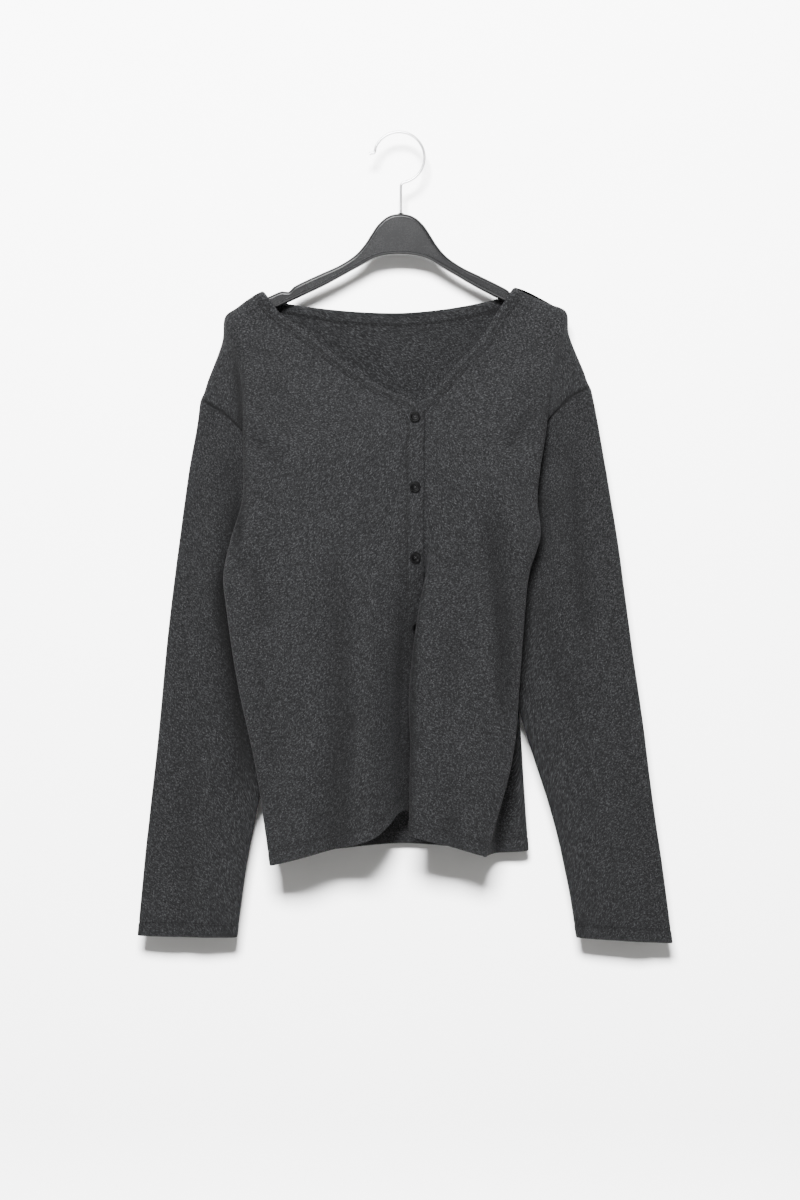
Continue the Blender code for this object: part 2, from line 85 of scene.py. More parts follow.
leftFront = {
    "rows": (
        ((123, 164, 0), (129, 167, 0), (140, 172, 0), (177, 189, 0), (202, 268, 0)),
        ((118, 171, -8), (125, 174, -8), (136, 180, -8), (173, 198, -8), (199, 270, -6)),
        ((107, 187, -10), (115, 192, -11), (128, 199, -12), (168, 216, -12), (191, 274, -8)),
        ((87, 219, -14), (98, 226, -16), (114, 232, -17), (161, 246, -17), (182, 279, -9)),
        ((61, 247, -19), (74, 254, -21), (92, 264, -23), (157, 282, -21), (171, 290, -11)),
        ((35, 277, -24), (49, 285, -27), (72, 296, -29), (153, 320, -25), (149, 311, -11)),
        ((9, 299, -24), (32, 311, -27), (62, 325, -33), (147, 358, -29), (110, 347, -9)),
        ((5, 337, -28), (30, 343, -29), (59, 354, -36), (144, 390, -31), (67, 389, 0)),
        ((5, 400, -30), (30, 404, -30), (53, 408, -38), (147, 426, -33), (59, 434, 0)),
        ((5, 453, -26), (30, 455, -27), (34, 457, -38), (135, 465, -34), (67, 486, 0)),
        ((6, 497, -22), (35, 497, -15), (25, 498, -40), (130, 507, -35), (78, 529, 0)),
        ((8, 568, -13), (39, 571, -3), (15, 574, -42), (125, 578, -36), (96, 592, 0)),
        ((8, 642, -11), (41, 648, 0), (13, 653, -43), (118, 658, -37), (104, 660, -6)),
        ((8, 716, -11), (41, 727, 0), (11, 738, -44), (91, 762, -38), (92, 763, -20)),
    ),
    "inward": -1,
}

# Columns: side fold, neck point, nape on the right, the middle, then the left in reverse.
backPanel = {
    "right": (
        ((-184, 194, 0), (-145, 168, 0), (-139, 175, 8)),
        ((-183, 199, 8), (-141, 173, 8), (-136, 178, 9)),
        ((-179, 218, 11), (-131, 194, 12), (-126, 196, 12)),
        ((-172, 243, 13), (-116, 228, 14), (-108, 228, 14)),
        ((-166, 279, 14), (-108, 262, 16), (-98, 262, 16)),
        ((-163, 318, 15), (-102, 297, 17), (-90, 297, 17)),
        ((-162, 356, 15), (-99, 335, 18), (-88, 335, 18)),
        ((-163, 388, 15), (-98, 372, 19), (-87, 372, 19)),
        ((-172, 431, 15), (-97, 420, 19), (-86, 420, 19)),
        ((-177, 473, 15), (-96, 468, 19), (-85, 468, 19)),
        ((-176, 507, 15), (-95, 507, 19), (-84, 507, 19)),
        ((-166, 582, 15), (-91, 580, 19), (-80, 580, 19)),
        ((-148, 671, 13), (-84, 670, 18), (-74, 670, 18)),
        ((-133, 763, 9), (-76, 760, 15), (-66, 759, 16)),
    ),
    "middle": (
        (3, 190, 10), (3, 193, 11), (3, 207, 12), (3, 228, 14), (3, 260, 16),
        (3, 294, 17), (3, 332, 18), (3, 369, 19), (3, 418, 19), (3, 465, 19),
        (3, 505, 19), (3, 576, 19), (3, 663, 19), (3, 753, 17),
    ),
    "left": (
        ((117, 171, 8), (123, 164, 0), (177, 189, 0)),
        ((115, 174, 9), (119, 170, 8), (175, 195, 8)),
        ((107, 193, 12), (110, 191, 12), (169, 214, 11)),
        ((90, 226, 14), (97, 226, 14), (163, 243, 13)),
        ((82, 260, 16), (91, 260, 16), (158, 279, 14)),
        ((76, 294, 17), (86, 294, 17), (154, 318, 15)),
        ((74, 332, 18), (84, 332, 18), (149, 356, 15)),
        ((73, 371, 19), (84, 371, 19), (147, 388, 15)),
        ((73, 418, 19), (84, 418, 19), (147, 426, 15)),
        ((74, 465, 19), (85, 465, 19), (141, 468, 15)),
        ((75, 505, 19), (86, 505, 19), (134, 507, 15)),
        ((78, 578, 18), (89, 578, 18), (127, 582, 14)),
        ((78, 664, 17), (89, 665, 17), (131, 667, 12)),
        ((72, 758, 15), (82, 759, 15), (137, 760, 10)),
    ),
    "armholeDepth": (0, 6, 8, 9, 8, 7, 6),
}

# Sleeve rings below the armhole: outer edge (across, drop), inner edge (across, drop).
rightSleeve = {
    "rings": (
        (-213, 309, -95, 452), (-223, 367, -103, 497), (-235, 456, -112, 548), (-245, 537, -123, 601),
        (-253, 627, -139, 664), (-262, 707, -151, 719), (-270, 786, -163, 783), (-276, 849, -172, 851),
    ),
}
leftSleeve = {
    "rings": (
        (208, 298, 88, 444), (217, 348, 97, 489), (231, 436, 107, 537), (243, 524, 118, 579),
        (257, 620, 133, 630), (270, 719, 161, 717), (282, 802, 180, 797), (289, 857, 189, 851),
    ),
}

clothForm = {
    "armholeRow": 7,
    "frontReturn": -15.0,     # depth of the cloth that comes back under a front's side fold
    "backFoldHalf": 4.0,
    "tuck": 5.0,
    "crown": 4.0,
    "foldRound": 7.0,
    "sleeveHalfDepth": 7.0,
    "sleeveMiddle": -1.5,
    "wall": 1.5,              # one layer of jersey
    "turnedWall": 2.6,        # where an edge or a hem is turned up
    "seamPinch": 0.9,         # how far a panel sinks into its seam
    "seamReach": 3.2,
    "stitchSink": 0.62,
    "stitchWidth": 1.1,
    "seamNapShade": 0.95,          # how dark a seam and a stitch row are painted: crushed nap and painted shade of the groove
    "seamLine": 1.7,
    "stitchNapShade": 0.6,
}


def evenly(count):
    return np.arange(1, count + 1) / count


def closing(count, power=1.7):  # steps that grow shorter towards the end of a span
    return 1 - (1 - evenly(count)) ** power


rowShares = [evenly(n) for n in (7, 8, 10, 10, 11, 14, 14, 13, 14, 12, 19, 20)] + [closing(34)]
frontShares = [evenly(n) for n in (15, 13, 22, 22, 9, 8, 9)]
backShares = [evenly(n) for n in (9, 8, 8, 6, 15, 6, 24, 24, 6, 15, 6, 8, 8, 9)]
sleeveShares = [evenly(n) for n in (22, 13, 15, 14, 15, 14, 14)] + [closing(30)]


def smoothThrough(points, spans):
    # centripetal Catmull-Rom curves through points[1:-1], side by side where points has columns
    points = np.asarray(points, float)
    made = [points[1]]
    for i, shares in enumerate(spans):
        p0, p1, p2, p3 = points[i : i + 4]
        gaps = [np.maximum(np.linalg.norm(b - a, axis=-1, keepdims=True), 0.01) ** 0.5
                for a, b in ((p0, p1), (p1, p2), (p2, p3))]
        t0 = np.zeros_like(gaps[0])
        t1 = t0 + gaps[0]
        t2 = t1 + gaps[1]
        t3 = t2 + gaps[2]
        for share in shares:
            t = t1 + (t2 - t1) * share
            a1 = (t1 - t) / (t1 - t0) * p0 + (t - t0) / (t1 - t0) * p1
            a2 = (t2 - t) / (t2 - t1) * p1 + (t - t1) / (t2 - t1) * p2
            a3 = (t3 - t) / (t3 - t2) * p2 + (t - t2) / (t3 - t2) * p3
            b1 = (t2 - t) / (t2 - t0) * a1 + (t - t0) / (t2 - t0) * a2
            b2 = (t3 - t) / (t3 - t1) * a2 + (t - t1) / (t3 - t1) * a3
            made.append((t2 - t) / (t2 - t1) * b1 + (t - t1) / (t2 - t1) * b2)
    return np.array(made)


def between(a, b, share):
    return np.asarray(a, float) * (1 - share) + np.asarray(b, float) * share


def turnPoints(fold, seam, returnDepth, inward, row):
    # where the cloth turns under its side fold and comes back to the seam
    reach = inward * (seam[0] - fold[0])
    if row < clothForm["armholeRow"]:
        under = min(max((row - 3) / 2, 0.0), 1.0)
    else:
        under = min(max(reach / 25, 0.0), 1.0)
    tuck = min(clothForm["tuck"], 0.5 * reach) if reach > 0 else 0.6 * clothForm["tuck"]
    tuck *= min(max((abs(seam[2] - fold[2]) - 4) / 10, 0.0), 1.0)
    turn = between(fold, seam, 0.3)
    turn[0] += (fold[0] + inward * tuck - turn[0]) * max(under, 0.6)
    turn[2] += (fold[2] + 0.75 * (returnDepth - fold[2]) - turn[2]) * under
    pleat = between(turn, seam, 0.7)
    pleat[2] += (returnDepth - pleat[2]) * under
    return turn, pleat


def frontSection(frontRow, row, inward):
    edge, placket, lip, fold, seam = (np.array(p, float) for p in frontRow)
    turn, pleat = turnPoints(fold, seam, clothForm["frontReturn"], inward, row)
    middle = between(lip, fold, 0.5)
    middle[2] -= clothForm["crown"] * min(row / 3, 1.0)
    return [edge, placket, lip, middle, fold, turn, pleat, seam]


def backEnd(frontRow, backFold, backFlat, row, inward):
    # seam, pleat, turn, fold, and the flat cloth behind the fold
    seam = np.array(frontRow[4], float)
    if row < clothForm["armholeRow"]:
        seam[2] = backPanel["armholeDepth"][row]
    fold = np.array(backFold, float)
    turn, pleat = turnPoints(fold, seam, fold[2] - clothForm["backFoldHalf"], inward, row)
    level = between(fold, backFlat, clothForm["foldRound"] / abs(backFlat[0] - fold[0]))
    level[2] = 0.2 * fold[2] + 0.8 * backFlat[2]
    return [seam, pleat, turn, fold, level]


def pastArmhole(seam, inward):
    return seam + np.array((-10.0 * inward, 10.0, 1.0 if seam[2] < 0 else -1.0))


def backColumns(row, inward):
    side = backPanel["right"][row] if inward > 0 else backPanel["left"][row][::-1]
    return side[:2]


def frontRows(front):
    rows = []
    inward = front["inward"]
    for row, frontRow in enumerate(front["rows"]):
        section = frontSection(frontRow, row, inward)
        start = 2 * section[0] - section[1]
        if row < clothForm["armholeRow"]:
            end = pastArmhole(section[-1], inward)
        else:
            end = backEnd(frontRow, *backColumns(row, inward), row, inward)[1]
        rows.append(smoothThrough([start, *section, end], frontShares))
    return np.array(rows)


def backRows():
    rows = []
    for row, middle in enumerate(backPanel["middle"]):
        rightRow = rightFront["rows"][row]
        leftRow = leftFront["rows"][row]
        right = backEnd(rightRow, *backColumns(row, 1), row, 1)
        left = backEnd(leftRow, *backColumns(row, -1), row, -1)
        flat = [*backPanel["right"][row][1:], middle, *backPanel["left"][row][:2]]
        section = [*right, *(np.array(p, float) for p in flat), *reversed(left)]
        if row < clothForm["armholeRow"]:
            start = pastArmhole(section[0], 1)
            end = pastArmhole(section[-1], -1)
        else:
            start = frontSection(rightRow, row, 1)[-2]
            end = frontSection(leftRow, row, -1)[-2]
        rows.append(smoothThrough([start, *section, end], backShares))
    return np.array(rows)


def fillRows(rows, overShoulder):
    # the cloth crosses the shoulder seam level, and runs straight on at the hem
    before = 2 * rows[0] - rows[1]
    before[overShoulder] = rows[1][overShoulder] * (1, 1, -1)
    after = 2 * rows[-1] - rows[-2]
    return smoothThrough(np.concatenate([before[None], rows, after[None]]), rowShares)


def armholeEnd():
    return sum(len(s) for s in rowShares[: clothForm["armholeRow"]]) + 1


def sleeveRings(frontGrid, backGrid, sleeve):
    # down the front half of the ring from its outer edge, then back round behind
    stop = armholeEnd()
    frontEdge, frontNear = frontGrid[:stop, -1], frontGrid[:stop, -6]
    backEdge, backNear = backGrid[:stop, 0], backGrid[:stop, 5]
    if frontGrid[0, -1, 0] >= 0:
        backEdge, backNear = backGrid[:stop, -1], backGrid[:stop, -6]
    first = np.vstack([frontEdge, backEdge[-2:0:-1]])
    before = np.vstack([frontNear, backNear[-2:0:-1]])
    half = len(frontEdge) - 1
    share = np.abs(first[:, 0] - first[0, 0]) / abs(first[half, 0] - first[0, 0])
    even = (1 - np.cos(np.arange(2 * half) * math.pi / half)) / 2
    sign = np.where(np.arange(2 * half) <= half, -1.0, 1.0)
    lines = [before, first]
    for number, (outerX, outerDrop, innerX, innerDrop) in enumerate(sleeve["rings"]):
        blend = min((number + 1) / 3, 1.0)
        across = share * (1 - blend) + even * blend
        angle = np.arccos(np.clip(1 - 2 * across, -1, 1))
        depth = clothForm["sleeveMiddle"] + sign * clothForm["sleeveHalfDepth"] * np.abs(np.sin(angle)) ** 0.7
        lines.append(np.stack(
            [outerX + (innerX - outerX) * across, outerDrop + (innerDrop - outerDrop) * across, depth],
            axis=1,
        ))
    lines.append(2 * lines[-1] - lines[-2])
    return smoothThrough(lines, sleeveShares)


def runLengths(grid, axis):
    # how far each point lies along its row or column from the first one
    steps = np.linalg.norm(np.diff(grid, axis=axis), axis=2)
    zero = np.zeros_like(np.take(steps, [0], axis=axis))
    return np.concatenate([zero, np.cumsum(steps, axis=axis)], axis=axis)


def outwardNormals(grid, closed, outward):
    if closed:
        around = np.roll(grid, -1, axis=1) - np.roll(grid, 1, axis=1)
    else:
        around = np.gradient(grid, axis=1)
    down = np.gradient(grid, axis=0)
    normals = np.cross(around, down)
    normals /= np.maximum(np.linalg.norm(normals, axis=2, keepdims=True), 1e-6)
    return normals * outward


def nearPath(grid, path):
    # distance from each point to a path of (across, drop), and the share of the path's length
    places = grid[:, :, :2]
    path = np.asarray(path, float)
    lengths = np.linalg.norm(np.diff(path, axis=0), axis=1)
    total = lengths.sum()
    nearest = np.full(places.shape[:2], 1e6)
    share = np.zeros(places.shape[:2])
    run = 0.0
    for start, end, length in zip(path[:-1], path[1:], lengths):
        t = np.clip(((places - start) @ (end - start)) / length ** 2, 0, 1)
        gap = np.linalg.norm(places - (start + t[..., None] * (end - start)), axis=2)
        closer = gap < nearest
        nearest = np.where(closer, gap, nearest)
        share = np.where(closer, (run + t * length) / total, share)
        run += length
    return nearest, share


def creaseRelief(grid, creases, weight):
    # soft ridges and troughs that fade out at both ends
    relief = np.zeros(grid.shape[:2])
    for path, width, height in creases:
        gap, share = nearPath(grid, path)
        fade = np.clip(np.minimum(share, 1 - share) * 4, 0, 1)
        fade = fade * fade * (3 - 2 * fade)
        relief += height * np.exp(-((gap / width) ** 2)) * fade
    return relief * weight


def unevenness(grid, seed, sizes):
    relief = np.zeros(grid.shape[:2])
    for size, height in sizes:
        for row in range(grid.shape[0]):
            for column in range(grid.shape[1]):
                across, drop, depth = grid[row, column] / size
                relief[row, column] += height * noise.noise(Vector((across + seed, drop * 0.55, depth)))
    return relief


def rimPoints(middle, normal, outDepth, inDepth, away):
    # three points round a cut edge, from the outer face to the inner one
    made = []
    half = (outDepth + inDepth) / 2
    centre = middle + normal * ((outDepth - inDepth) / 2)[..., None]
    for angle in (math.radians(50), math.radians(90), math.radians(130)):
        made.append(centre + normal * (half * math.cos(angle))[..., None]
                    + away * (half * 0.8 * math.sin(angle))[..., None])
    return made


def unit(vectors):
    return vectors / np.maximum(np.linalg.norm(vectors, axis=-1, keepdims=True), 1e-6)


class ShellMaker:
    # gathers the corners, faces and flat coordinates of one sewn piece
    def __init__(self):
        self.places = []
        self.count = 0
        self.faces = []
        self.flat = []
        self.napAndShade = []

    def addGrid(self, grid, napAndShade=0.0):
        self.napAndShade.append(np.broadcast_to(napAndShade, grid.shape[:2]).ravel())
        numbers = np.arange(self.count, self.count + grid.shape[0] * grid.shape[1])
        self.places.append(grid.reshape(-1, 3))
        self.count += len(numbers)
        return numbers.reshape(grid.shape[:2])

    def addQuads(self, numbers, flatU, flatV, flip):
        rows, columns = numbers.shape
        for row in range(rows - 1):
            for column in range(columns - 1):
                ring = [(row, column), (row + 1, column), (row + 1, column + 1), (row, column + 1)]
                if flip:
                    ring.reverse()
                self.faces.append(tuple(int(numbers[c]) for c in ring))
                self.flat.extend((flatU[c], flatV[c]) for c in ring)

    def finish(self, name, finish):
        places = np.concatenate(self.places) * mm
        corners = np.stack([places[:, 0], places[:, 2], -places[:, 1]], axis=1)
        mesh = bpy.data.meshes.new(name)
        mesh.from_pydata(corners.tolist(), [], self.faces)
        layer = mesh.uv_layers.new(name="Flat")
        layer.data.foreach_set("uv", np.array(self.flat, float).ravel() * mm)
        # the painted darkening at each corner: crushed nap and painted shade
        napShadeLayer = mesh.attributes.new("ShadeAndNap", "FLOAT", "POINT")
        napShadeLayer.data.foreach_set("value", np.concatenate(self.napAndShade).astype(np.float32))
        mesh.shade_smooth()
        mesh.materials.append(finish)
        made = bpy.data.objects.new(name, mesh)
        bpy.context.scene.collection.objects.link(made)
        return made


def sewnPanel(name, grid, normals, outDepth, inDepth, napAndShade, finish, closed, flip):
    maker = ShellMaker()
    across = runLengths(grid, 1)
    down = runLengths(grid, 0)
    if closed:
        wrap = np.linalg.norm(grid[:, :1] - grid[:, -1:], axis=2)
        across = np.concatenate([across, across[:, -1:] + wrap], axis=1)
        down = np.concatenate([down, down[:, :1]], axis=1)
    outer = maker.addGrid(grid + normals * outDepth[..., None], napAndShade)
    inner = maker.addGrid(grid - normals * inDepth[..., None], napAndShade)
    if closed:
        outer = np.concatenate([outer, outer[:, :1]], axis=1)
        inner = np.concatenate([inner, inner[:, :1]], axis=1)
    maker.addQuads(outer, across, down, flip)
    maker.addQuads(inner, across, down, not flip)

    def rim(line, away):
        # a rounded strip from the outer face to the inner one along a row or column
        rings = rimPoints(grid[line], normals[line], outDepth[line], inDepth[line], away)
        made = [maker.addGrid(ring[None], napAndShade[line])[0] for ring in rings]
        if closed:
            made = [np.append(ring, ring[0]) for ring in made]
        return made

    def strip(outerLine, rims, innerLine, lineAcross, lineDown, reverse):
        lines = [outerLine, *rims, innerLine]
        for number, (first, second) in enumerate(zip(lines[:-1], lines[1:])):
            pair = np.stack([first, second])
            shift = 0.4 * number
            maker.addQuads(
                pair, np.stack([lineAcross, lineAcross]),
                np.stack([lineDown + shift, lineDown + shift + 0.4]), reverse,
            )

    top = rim((0, slice(None)), unit(grid[0] - grid[1]))
    bottom = rim((-1, slice(None)), unit(grid[-1] - grid[-2]))
    strip(outer[0], top, inner[0], across[0], down[0], not flip)
    strip(outer[-1], bottom, inner[-1], across[-1], down[-1], flip)
    if not closed:
        first = rim((slice(None), 0), unit(grid[:, 0] - grid[:, 1]))
        last = rim((slice(None), -1), unit(grid[:, -1] - grid[:, -2]))
        strip(outer[:, 0], first, inner[:, 0], across[:, 0], down[:, 0], flip)
        strip(outer[:, -1], last, inner[:, -1], across[:, -1], down[:, -1], not flip)
        for row, side, rowRim, sideRim, reverse in (
            (0, 0, top, first, not flip), (0, -1, top, last, flip),
            (-1, 0, bottom, first, flip), (-1, -1, bottom, last, not flip),
        ):
            rowLine = [outer[row, side], *(r[side] for r in rowRim), inner[row, side]]
            sideLine = [outer[row, side], *(r[row] for r in sideRim), inner[row, side]]
            for k in range(4):
                ring = [rowLine[k], rowLine[k + 1], sideLine[k + 1], sideLine[k]]
                ring = list(dict.fromkeys(int(c) for c in ring))
                if reverse:
                    ring.reverse()
                maker.faces.append(tuple(ring))
                maker.flat.extend((across[row, side], down[row, side]) for _ in ring)
    return maker.finish(name, finish)


stitching = {"length": 2.6, "gap": 0.9, "radius": 0.24, "sides": 6, "lift": 0.1}


def insetLine(surface, normals, gaps, distance):
    # the line a fixed distance in from an edge; gaps holds each point's distance from that edge
    places = []
    directions = []
    for line, facing, gap in zip(surface, normals, gaps):
        places.append([np.interp(distance, gap, line[:, k]) for k in range(3)])
        directions.append([np.interp(distance, gap, facing[:, k]) for k in range(3)])
    return np.array(places), unit(np.array(directions))


def stitchRun(places, normals, thread):
    # thread lying on the cloth in short stitches, each a small rounded bar
    run = np.concatenate([[0], np.cumsum(np.linalg.norm(np.diff(places, axis=0), axis=1))])
    pitch = thread["length"] + thread["gap"]
    corners = []
    faces = []
    sides = thread["sides"]
    for number in range(int(run[-1] / pitch)):
        stations = number * pitch + np.array([0.0, 0.18, 0.5, 0.82, 1.0]) * thread["length"]
        spine = np.stack([np.interp(stations, run, places[:, k]) for k in range(3)], axis=1)
        facing = unit(np.stack([np.interp(stations, run, normals[:, k]) for k in range(3)], axis=1))
        along = unit(spine[-1] - spine[0])
        start = len(corners)
        for place, up, lift, size in zip(spine, facing, (-0.9, 0.2, 0.6, 0.2, -0.9), (0.45, 1, 1, 1, 0.45)):
            side = unit(np.cross(along, up))
            centre = place + up * thread["radius"] * lift + up * thread["lift"]
            for k in range(sides):
                angle = 2 * math.pi * k / sides
                offset = side * math.cos(angle) + up * math.sin(angle)
                corners.append(centre + offset * thread["radius"] * size)
        for ring in range(4):
            for k in range(sides):
                a = start + ring * sides + k
                b = start + ring * sides + (k + 1) % sides
                faces.append((a, b, b + sides, a + sides))
        faces.append(tuple(start + k for k in reversed(range(sides))))
        faces.append(tuple(start + 4 * sides + k for k in range(sides)))
    return corners, faces


def stitchPiece(name, runs, finish, thread=stitching):
    corners = []
    faces = []
    for places, normals in runs:
        moreCorners, moreFaces = stitchRun(places, normals, thread)
        faces.extend(tuple(c + len(corners) for c in face) for face in moreFaces)
        corners.extend(moreCorners)
    corners = np.array(corners) * mm
    mesh = bpy.data.meshes.new(name)
    mesh.from_pydata(np.stack([corners[:, 0], corners[:, 2], -corners[:, 1]], axis=1).tolist(), [], faces)
    mesh.shade_smooth()
    mesh.materials.append(finish)
    made = bpy.data.objects.new(name, mesh)
    bpy.context.scene.collection.objects.link(made)
    return made


def easeStep(value, low, high):
    t = np.clip((value - low) / (high - low), 0, 1)
    return t * t * (3 - 2 * t)


def addGroup(name, inputs, outputs):
    group = bpy.data.node_groups.new(name, "ShaderNodeTree")
    for label, kind, value in inputs:
        socket = group.interface.new_socket(label, in_out="INPUT", socket_type=kind)
        if value is not None:
            socket.default_value = value
    for label, kind in outputs:
        group.interface.new_socket(label, in_out="OUTPUT", socket_type=kind)
    return group, group.nodes.new("NodeGroupInput"), group.nodes.new("NodeGroupOutput")


def mathNode(nodes, links, operation, first, second=None, clamp=False):
    node = nodes.new("ShaderNodeMath")
    node.operation = operation
    node.use_clamp = clamp
    for socket, value in zip(node.inputs, (first, second)):
        if value is None:
            continue
        if isinstance(value, (int, float)):
            socket.default_value = value
        else:
            links.new(value, socket)
    return node.outputs[0]


def rampNode(nodes, links, factor, stops):
    ramp = nodes.new("ShaderNodeValToRGB")
    points = ramp.color_ramp.elements
    while len(points) < len(stops):
        points.new(0.5)
    for point, (place, shade) in zip(points, stops):
        point.position = place
        point.color = shade if len(shade) == 4 else (*shade, 1)
    links.new(factor, ramp.inputs[0])
    return ramp.outputs[0]


def noiseNode(nodes, links, vector, scale, detail, roughness=0.5):
    node = nodes.new("ShaderNodeTexNoise")
    node.inputs["Detail"].default_value = detail
    node.inputs["Roughness"].default_value = roughness
    if isinstance(scale, (int, float)):
        node.inputs["Scale"].default_value = scale
    else:
        links.new(scale, node.inputs["Scale"])
    links.new(vector, node.inputs["Vector"])
    return node.outputs["Fac"]


def stretched(nodes, links, vector, scale):
    node = nodes.new("ShaderNodeVectorMath")
    node.operation = "MULTIPLY"
    links.new(vector, node.inputs[0])
    node.inputs[1].default_value = scale
    return node.outputs[0]


def jerseyGroup():
    # plain knit loops, marl flecks of paler fibre and a brushed nap
    group, given, made = addGroup(
        "marlJersey",
        (
            ("Flat", "NodeSocketVector", None), ("Wale", "NodeSocketFloat", 0.00125),
            ("Course", "NodeSocketFloat", 0.00105), ("Dark", "NodeSocketColor", (0.02, 0.02, 0.021, 1)),
            ("Middle", "NodeSocketColor", (0.05, 0.051, 0.053, 1)),
            ("Pale", "NodeSocketColor", (0.14, 0.14, 0.145, 1)), ("Fleck Scale", "NodeSocketFloat", 700.0),
            ("ShadeAndNap", "NodeSocketFloat", 0.0),
        ),
        (("Color", "NodeSocketColor"), ("Height", "NodeSocketFloat"), ("Roughness", "NodeSocketFloat")),
    )
    nodes, links = group.nodes, group.links
    flat = given.outputs["Flat"]
    fuzz = noiseNode(nodes, links, flat, 1700.0, 3.0, 0.7)

    # knit loops: a row of Vs, each one wale wide and one course high
    parts = nodes.new("ShaderNodeSeparateXYZ")
    links.new(flat, parts.inputs[0])
    drift = noiseNode(nodes, links, flat, 220.0, 2.0)
    acrossCount = mathNode(nodes, links, "DIVIDE", parts.outputs[0], given.outputs["Wale"])
    acrossCount = mathNode(nodes, links, "ADD", acrossCount, mathNode(nodes, links, "MULTIPLY", drift, 0.7))
    leg = mathNode(nodes, links, "PINGPONG", acrossCount, 0.5)
    leg = mathNode(nodes, links, "MULTIPLY", leg, 2.0)
    downCount = mathNode(nodes, links, "DIVIDE", parts.outputs[1], given.outputs["Course"])
    downCount = mathNode(nodes, links, "ADD", downCount, mathNode(nodes, links, "MULTIPLY", leg, 0.75))
    downCount = mathNode(nodes, links, "ADD", downCount, mathNode(nodes, links, "MULTIPLY", fuzz, 0.45))
    yarn = mathNode(nodes, links, "PINGPONG", downCount, 0.5)
    yarn = mathNode(nodes, links, "MULTIPLY", yarn, 2.0)
    legFold = mathNode(nodes, links, "PINGPONG", leg, 0.5)
    loops = mathNode(nodes, links, "MULTIPLY", yarn, mathNode(nodes, links, "ADD", legFold, 0.5))

    # marl: short flecks along the courses, finer specks and a slow drift of shade
    fleckFlat = stretched(nodes, links, flat, (0.8, 1.0, 1.0))
    flecks = noiseNode(nodes, links, fleckFlat, given.outputs["Fleck Scale"], 2.0, 0.6)
    specks = noiseNode(nodes, links, stretched(nodes, links, flat, (0.55, 1.0, 1.0)), 1500.0, 1.0)
    slow = noiseNode(nodes, links, flat, 26.0, 3.0, 0.55)
    loop = nodes.new("ShaderNodeCombineXYZ")
    links.new(mathNode(nodes, links, "FLOOR", acrossCount), loop.inputs[0])
    links.new(mathNode(nodes, links, "FLOOR", downCount), loop.inputs[1])
    oneLoop = nodes.new("ShaderNodeTexWhiteNoise")
    links.new(loop.outputs[0], oneLoop.inputs["Vector"])
    mixed = mathNode(nodes, links, "MULTIPLY", flecks, 0.5)
    mixed = mathNode(nodes, links, "ADD", mixed, mathNode(nodes, links, "MULTIPLY", specks, 0.22))
    loopTone = mathNode(nodes, links, "MULTIPLY", oneLoop.outputs["Value"], 0.24)
    mixed = mathNode(nodes, links, "ADD", mixed, loopTone)
    mixed = mathNode(nodes, links, "ADD", mixed, mathNode(nodes, links, "MULTIPLY", slow, 0.04))
    mixed = mathNode(nodes, links, "SUBTRACT", mixed, 0.33)
    mixed = mathNode(nodes, links, "MULTIPLY", mixed, 2.7, clamp=True)
    lower = nodes.new("ShaderNodeMix")
    lower.data_type = "RGBA"
    links.new(mathNode(nodes, links, "MULTIPLY", mixed, 2.0, clamp=True), lower.inputs["Factor"])
    links.new(given.outputs["Dark"], lower.inputs["A"])
    links.new(given.outputs["Middle"], lower.inputs["B"])
    upper = nodes.new("ShaderNodeMix")
    upper.data_type = "RGBA"
    high = mathNode(nodes, links, "MULTIPLY", mathNode(nodes, links, "SUBTRACT", mixed, 0.5), 2.0, clamp=True)
    links.new(mathNode(nodes, links, "POWER", high, 1.3), upper.inputs["Factor"])
    links.new(lower.outputs["Result"], upper.inputs["A"])
    links.new(given.outputs["Pale"], upper.inputs["B"])
    shaded = nodes.new("ShaderNodeMix")
    shaded.data_type = "RGBA"
    shaded.blend_type = "MULTIPLY"
    shaded.inputs["Factor"].default_value = 0.35
    links.new(upper.outputs["Result"], shaded.inputs["A"])
    loopShade = rampNode(nodes, links, loops, ((0.0, (0.45, 0.45, 0.46)), (0.6, (1.0, 1.0, 1.0))))
    links.new(loopShade, shaded.inputs["B"])
    # the colour is darkened by the painted value: crushed nap in seams, painted shade in grooves, troughs and
    # folds
    napShadedColour = nodes.new("ShaderNodeVectorMath")
    napShadedColour.operation = "SCALE"
    links.new(shaded.outputs["Result"], napShadedColour.inputs[0])
    napShadeAmount = mathNode(nodes, links, "MULTIPLY", given.outputs["ShadeAndNap"], 0.85)
    links.new(mathNode(nodes, links, "SUBTRACT", 1.0, napShadeAmount, clamp=True), napShadedColour.inputs["Scale"])
    links.new(napShadedColour.outputs[0], made.inputs["Color"])

    height = mathNode(nodes, links, "MULTIPLY", loops, 0.45)
    height = mathNode(nodes, links, "ADD", height, mathNode(nodes, links, "MULTIPLY", fuzz, 0.55))
    height = mathNode(nodes, links, "ADD", height, mathNode(nodes, links, "MULTIPLY", flecks, 0.25))
    links.new(height, made.inputs["Height"])
    rough = mathNode(nodes, links, "MULTIPLY", fuzz, 0.12)
    links.new(mathNode(nodes, links, "ADD", rough, 0.86), made.inputs["Roughness"])
    return group


def emptyMaterial(name):
    material = bpy.data.materials.new(name)
    material.use_nodes = True
    tree = material.node_tree
    return material, tree.nodes, tree.links, tree.nodes["Principled BSDF"]


jersey = {
    "dark": (0.0028, 0.0028, 0.003, 1), "middle": (0.014, 0.0142, 0.015, 1),
    "pale": (0.056, 0.0568, 0.0595, 1),
    "bump": 0.55, "bumpDepth": 0.0006, "sheen": 0.03,
}


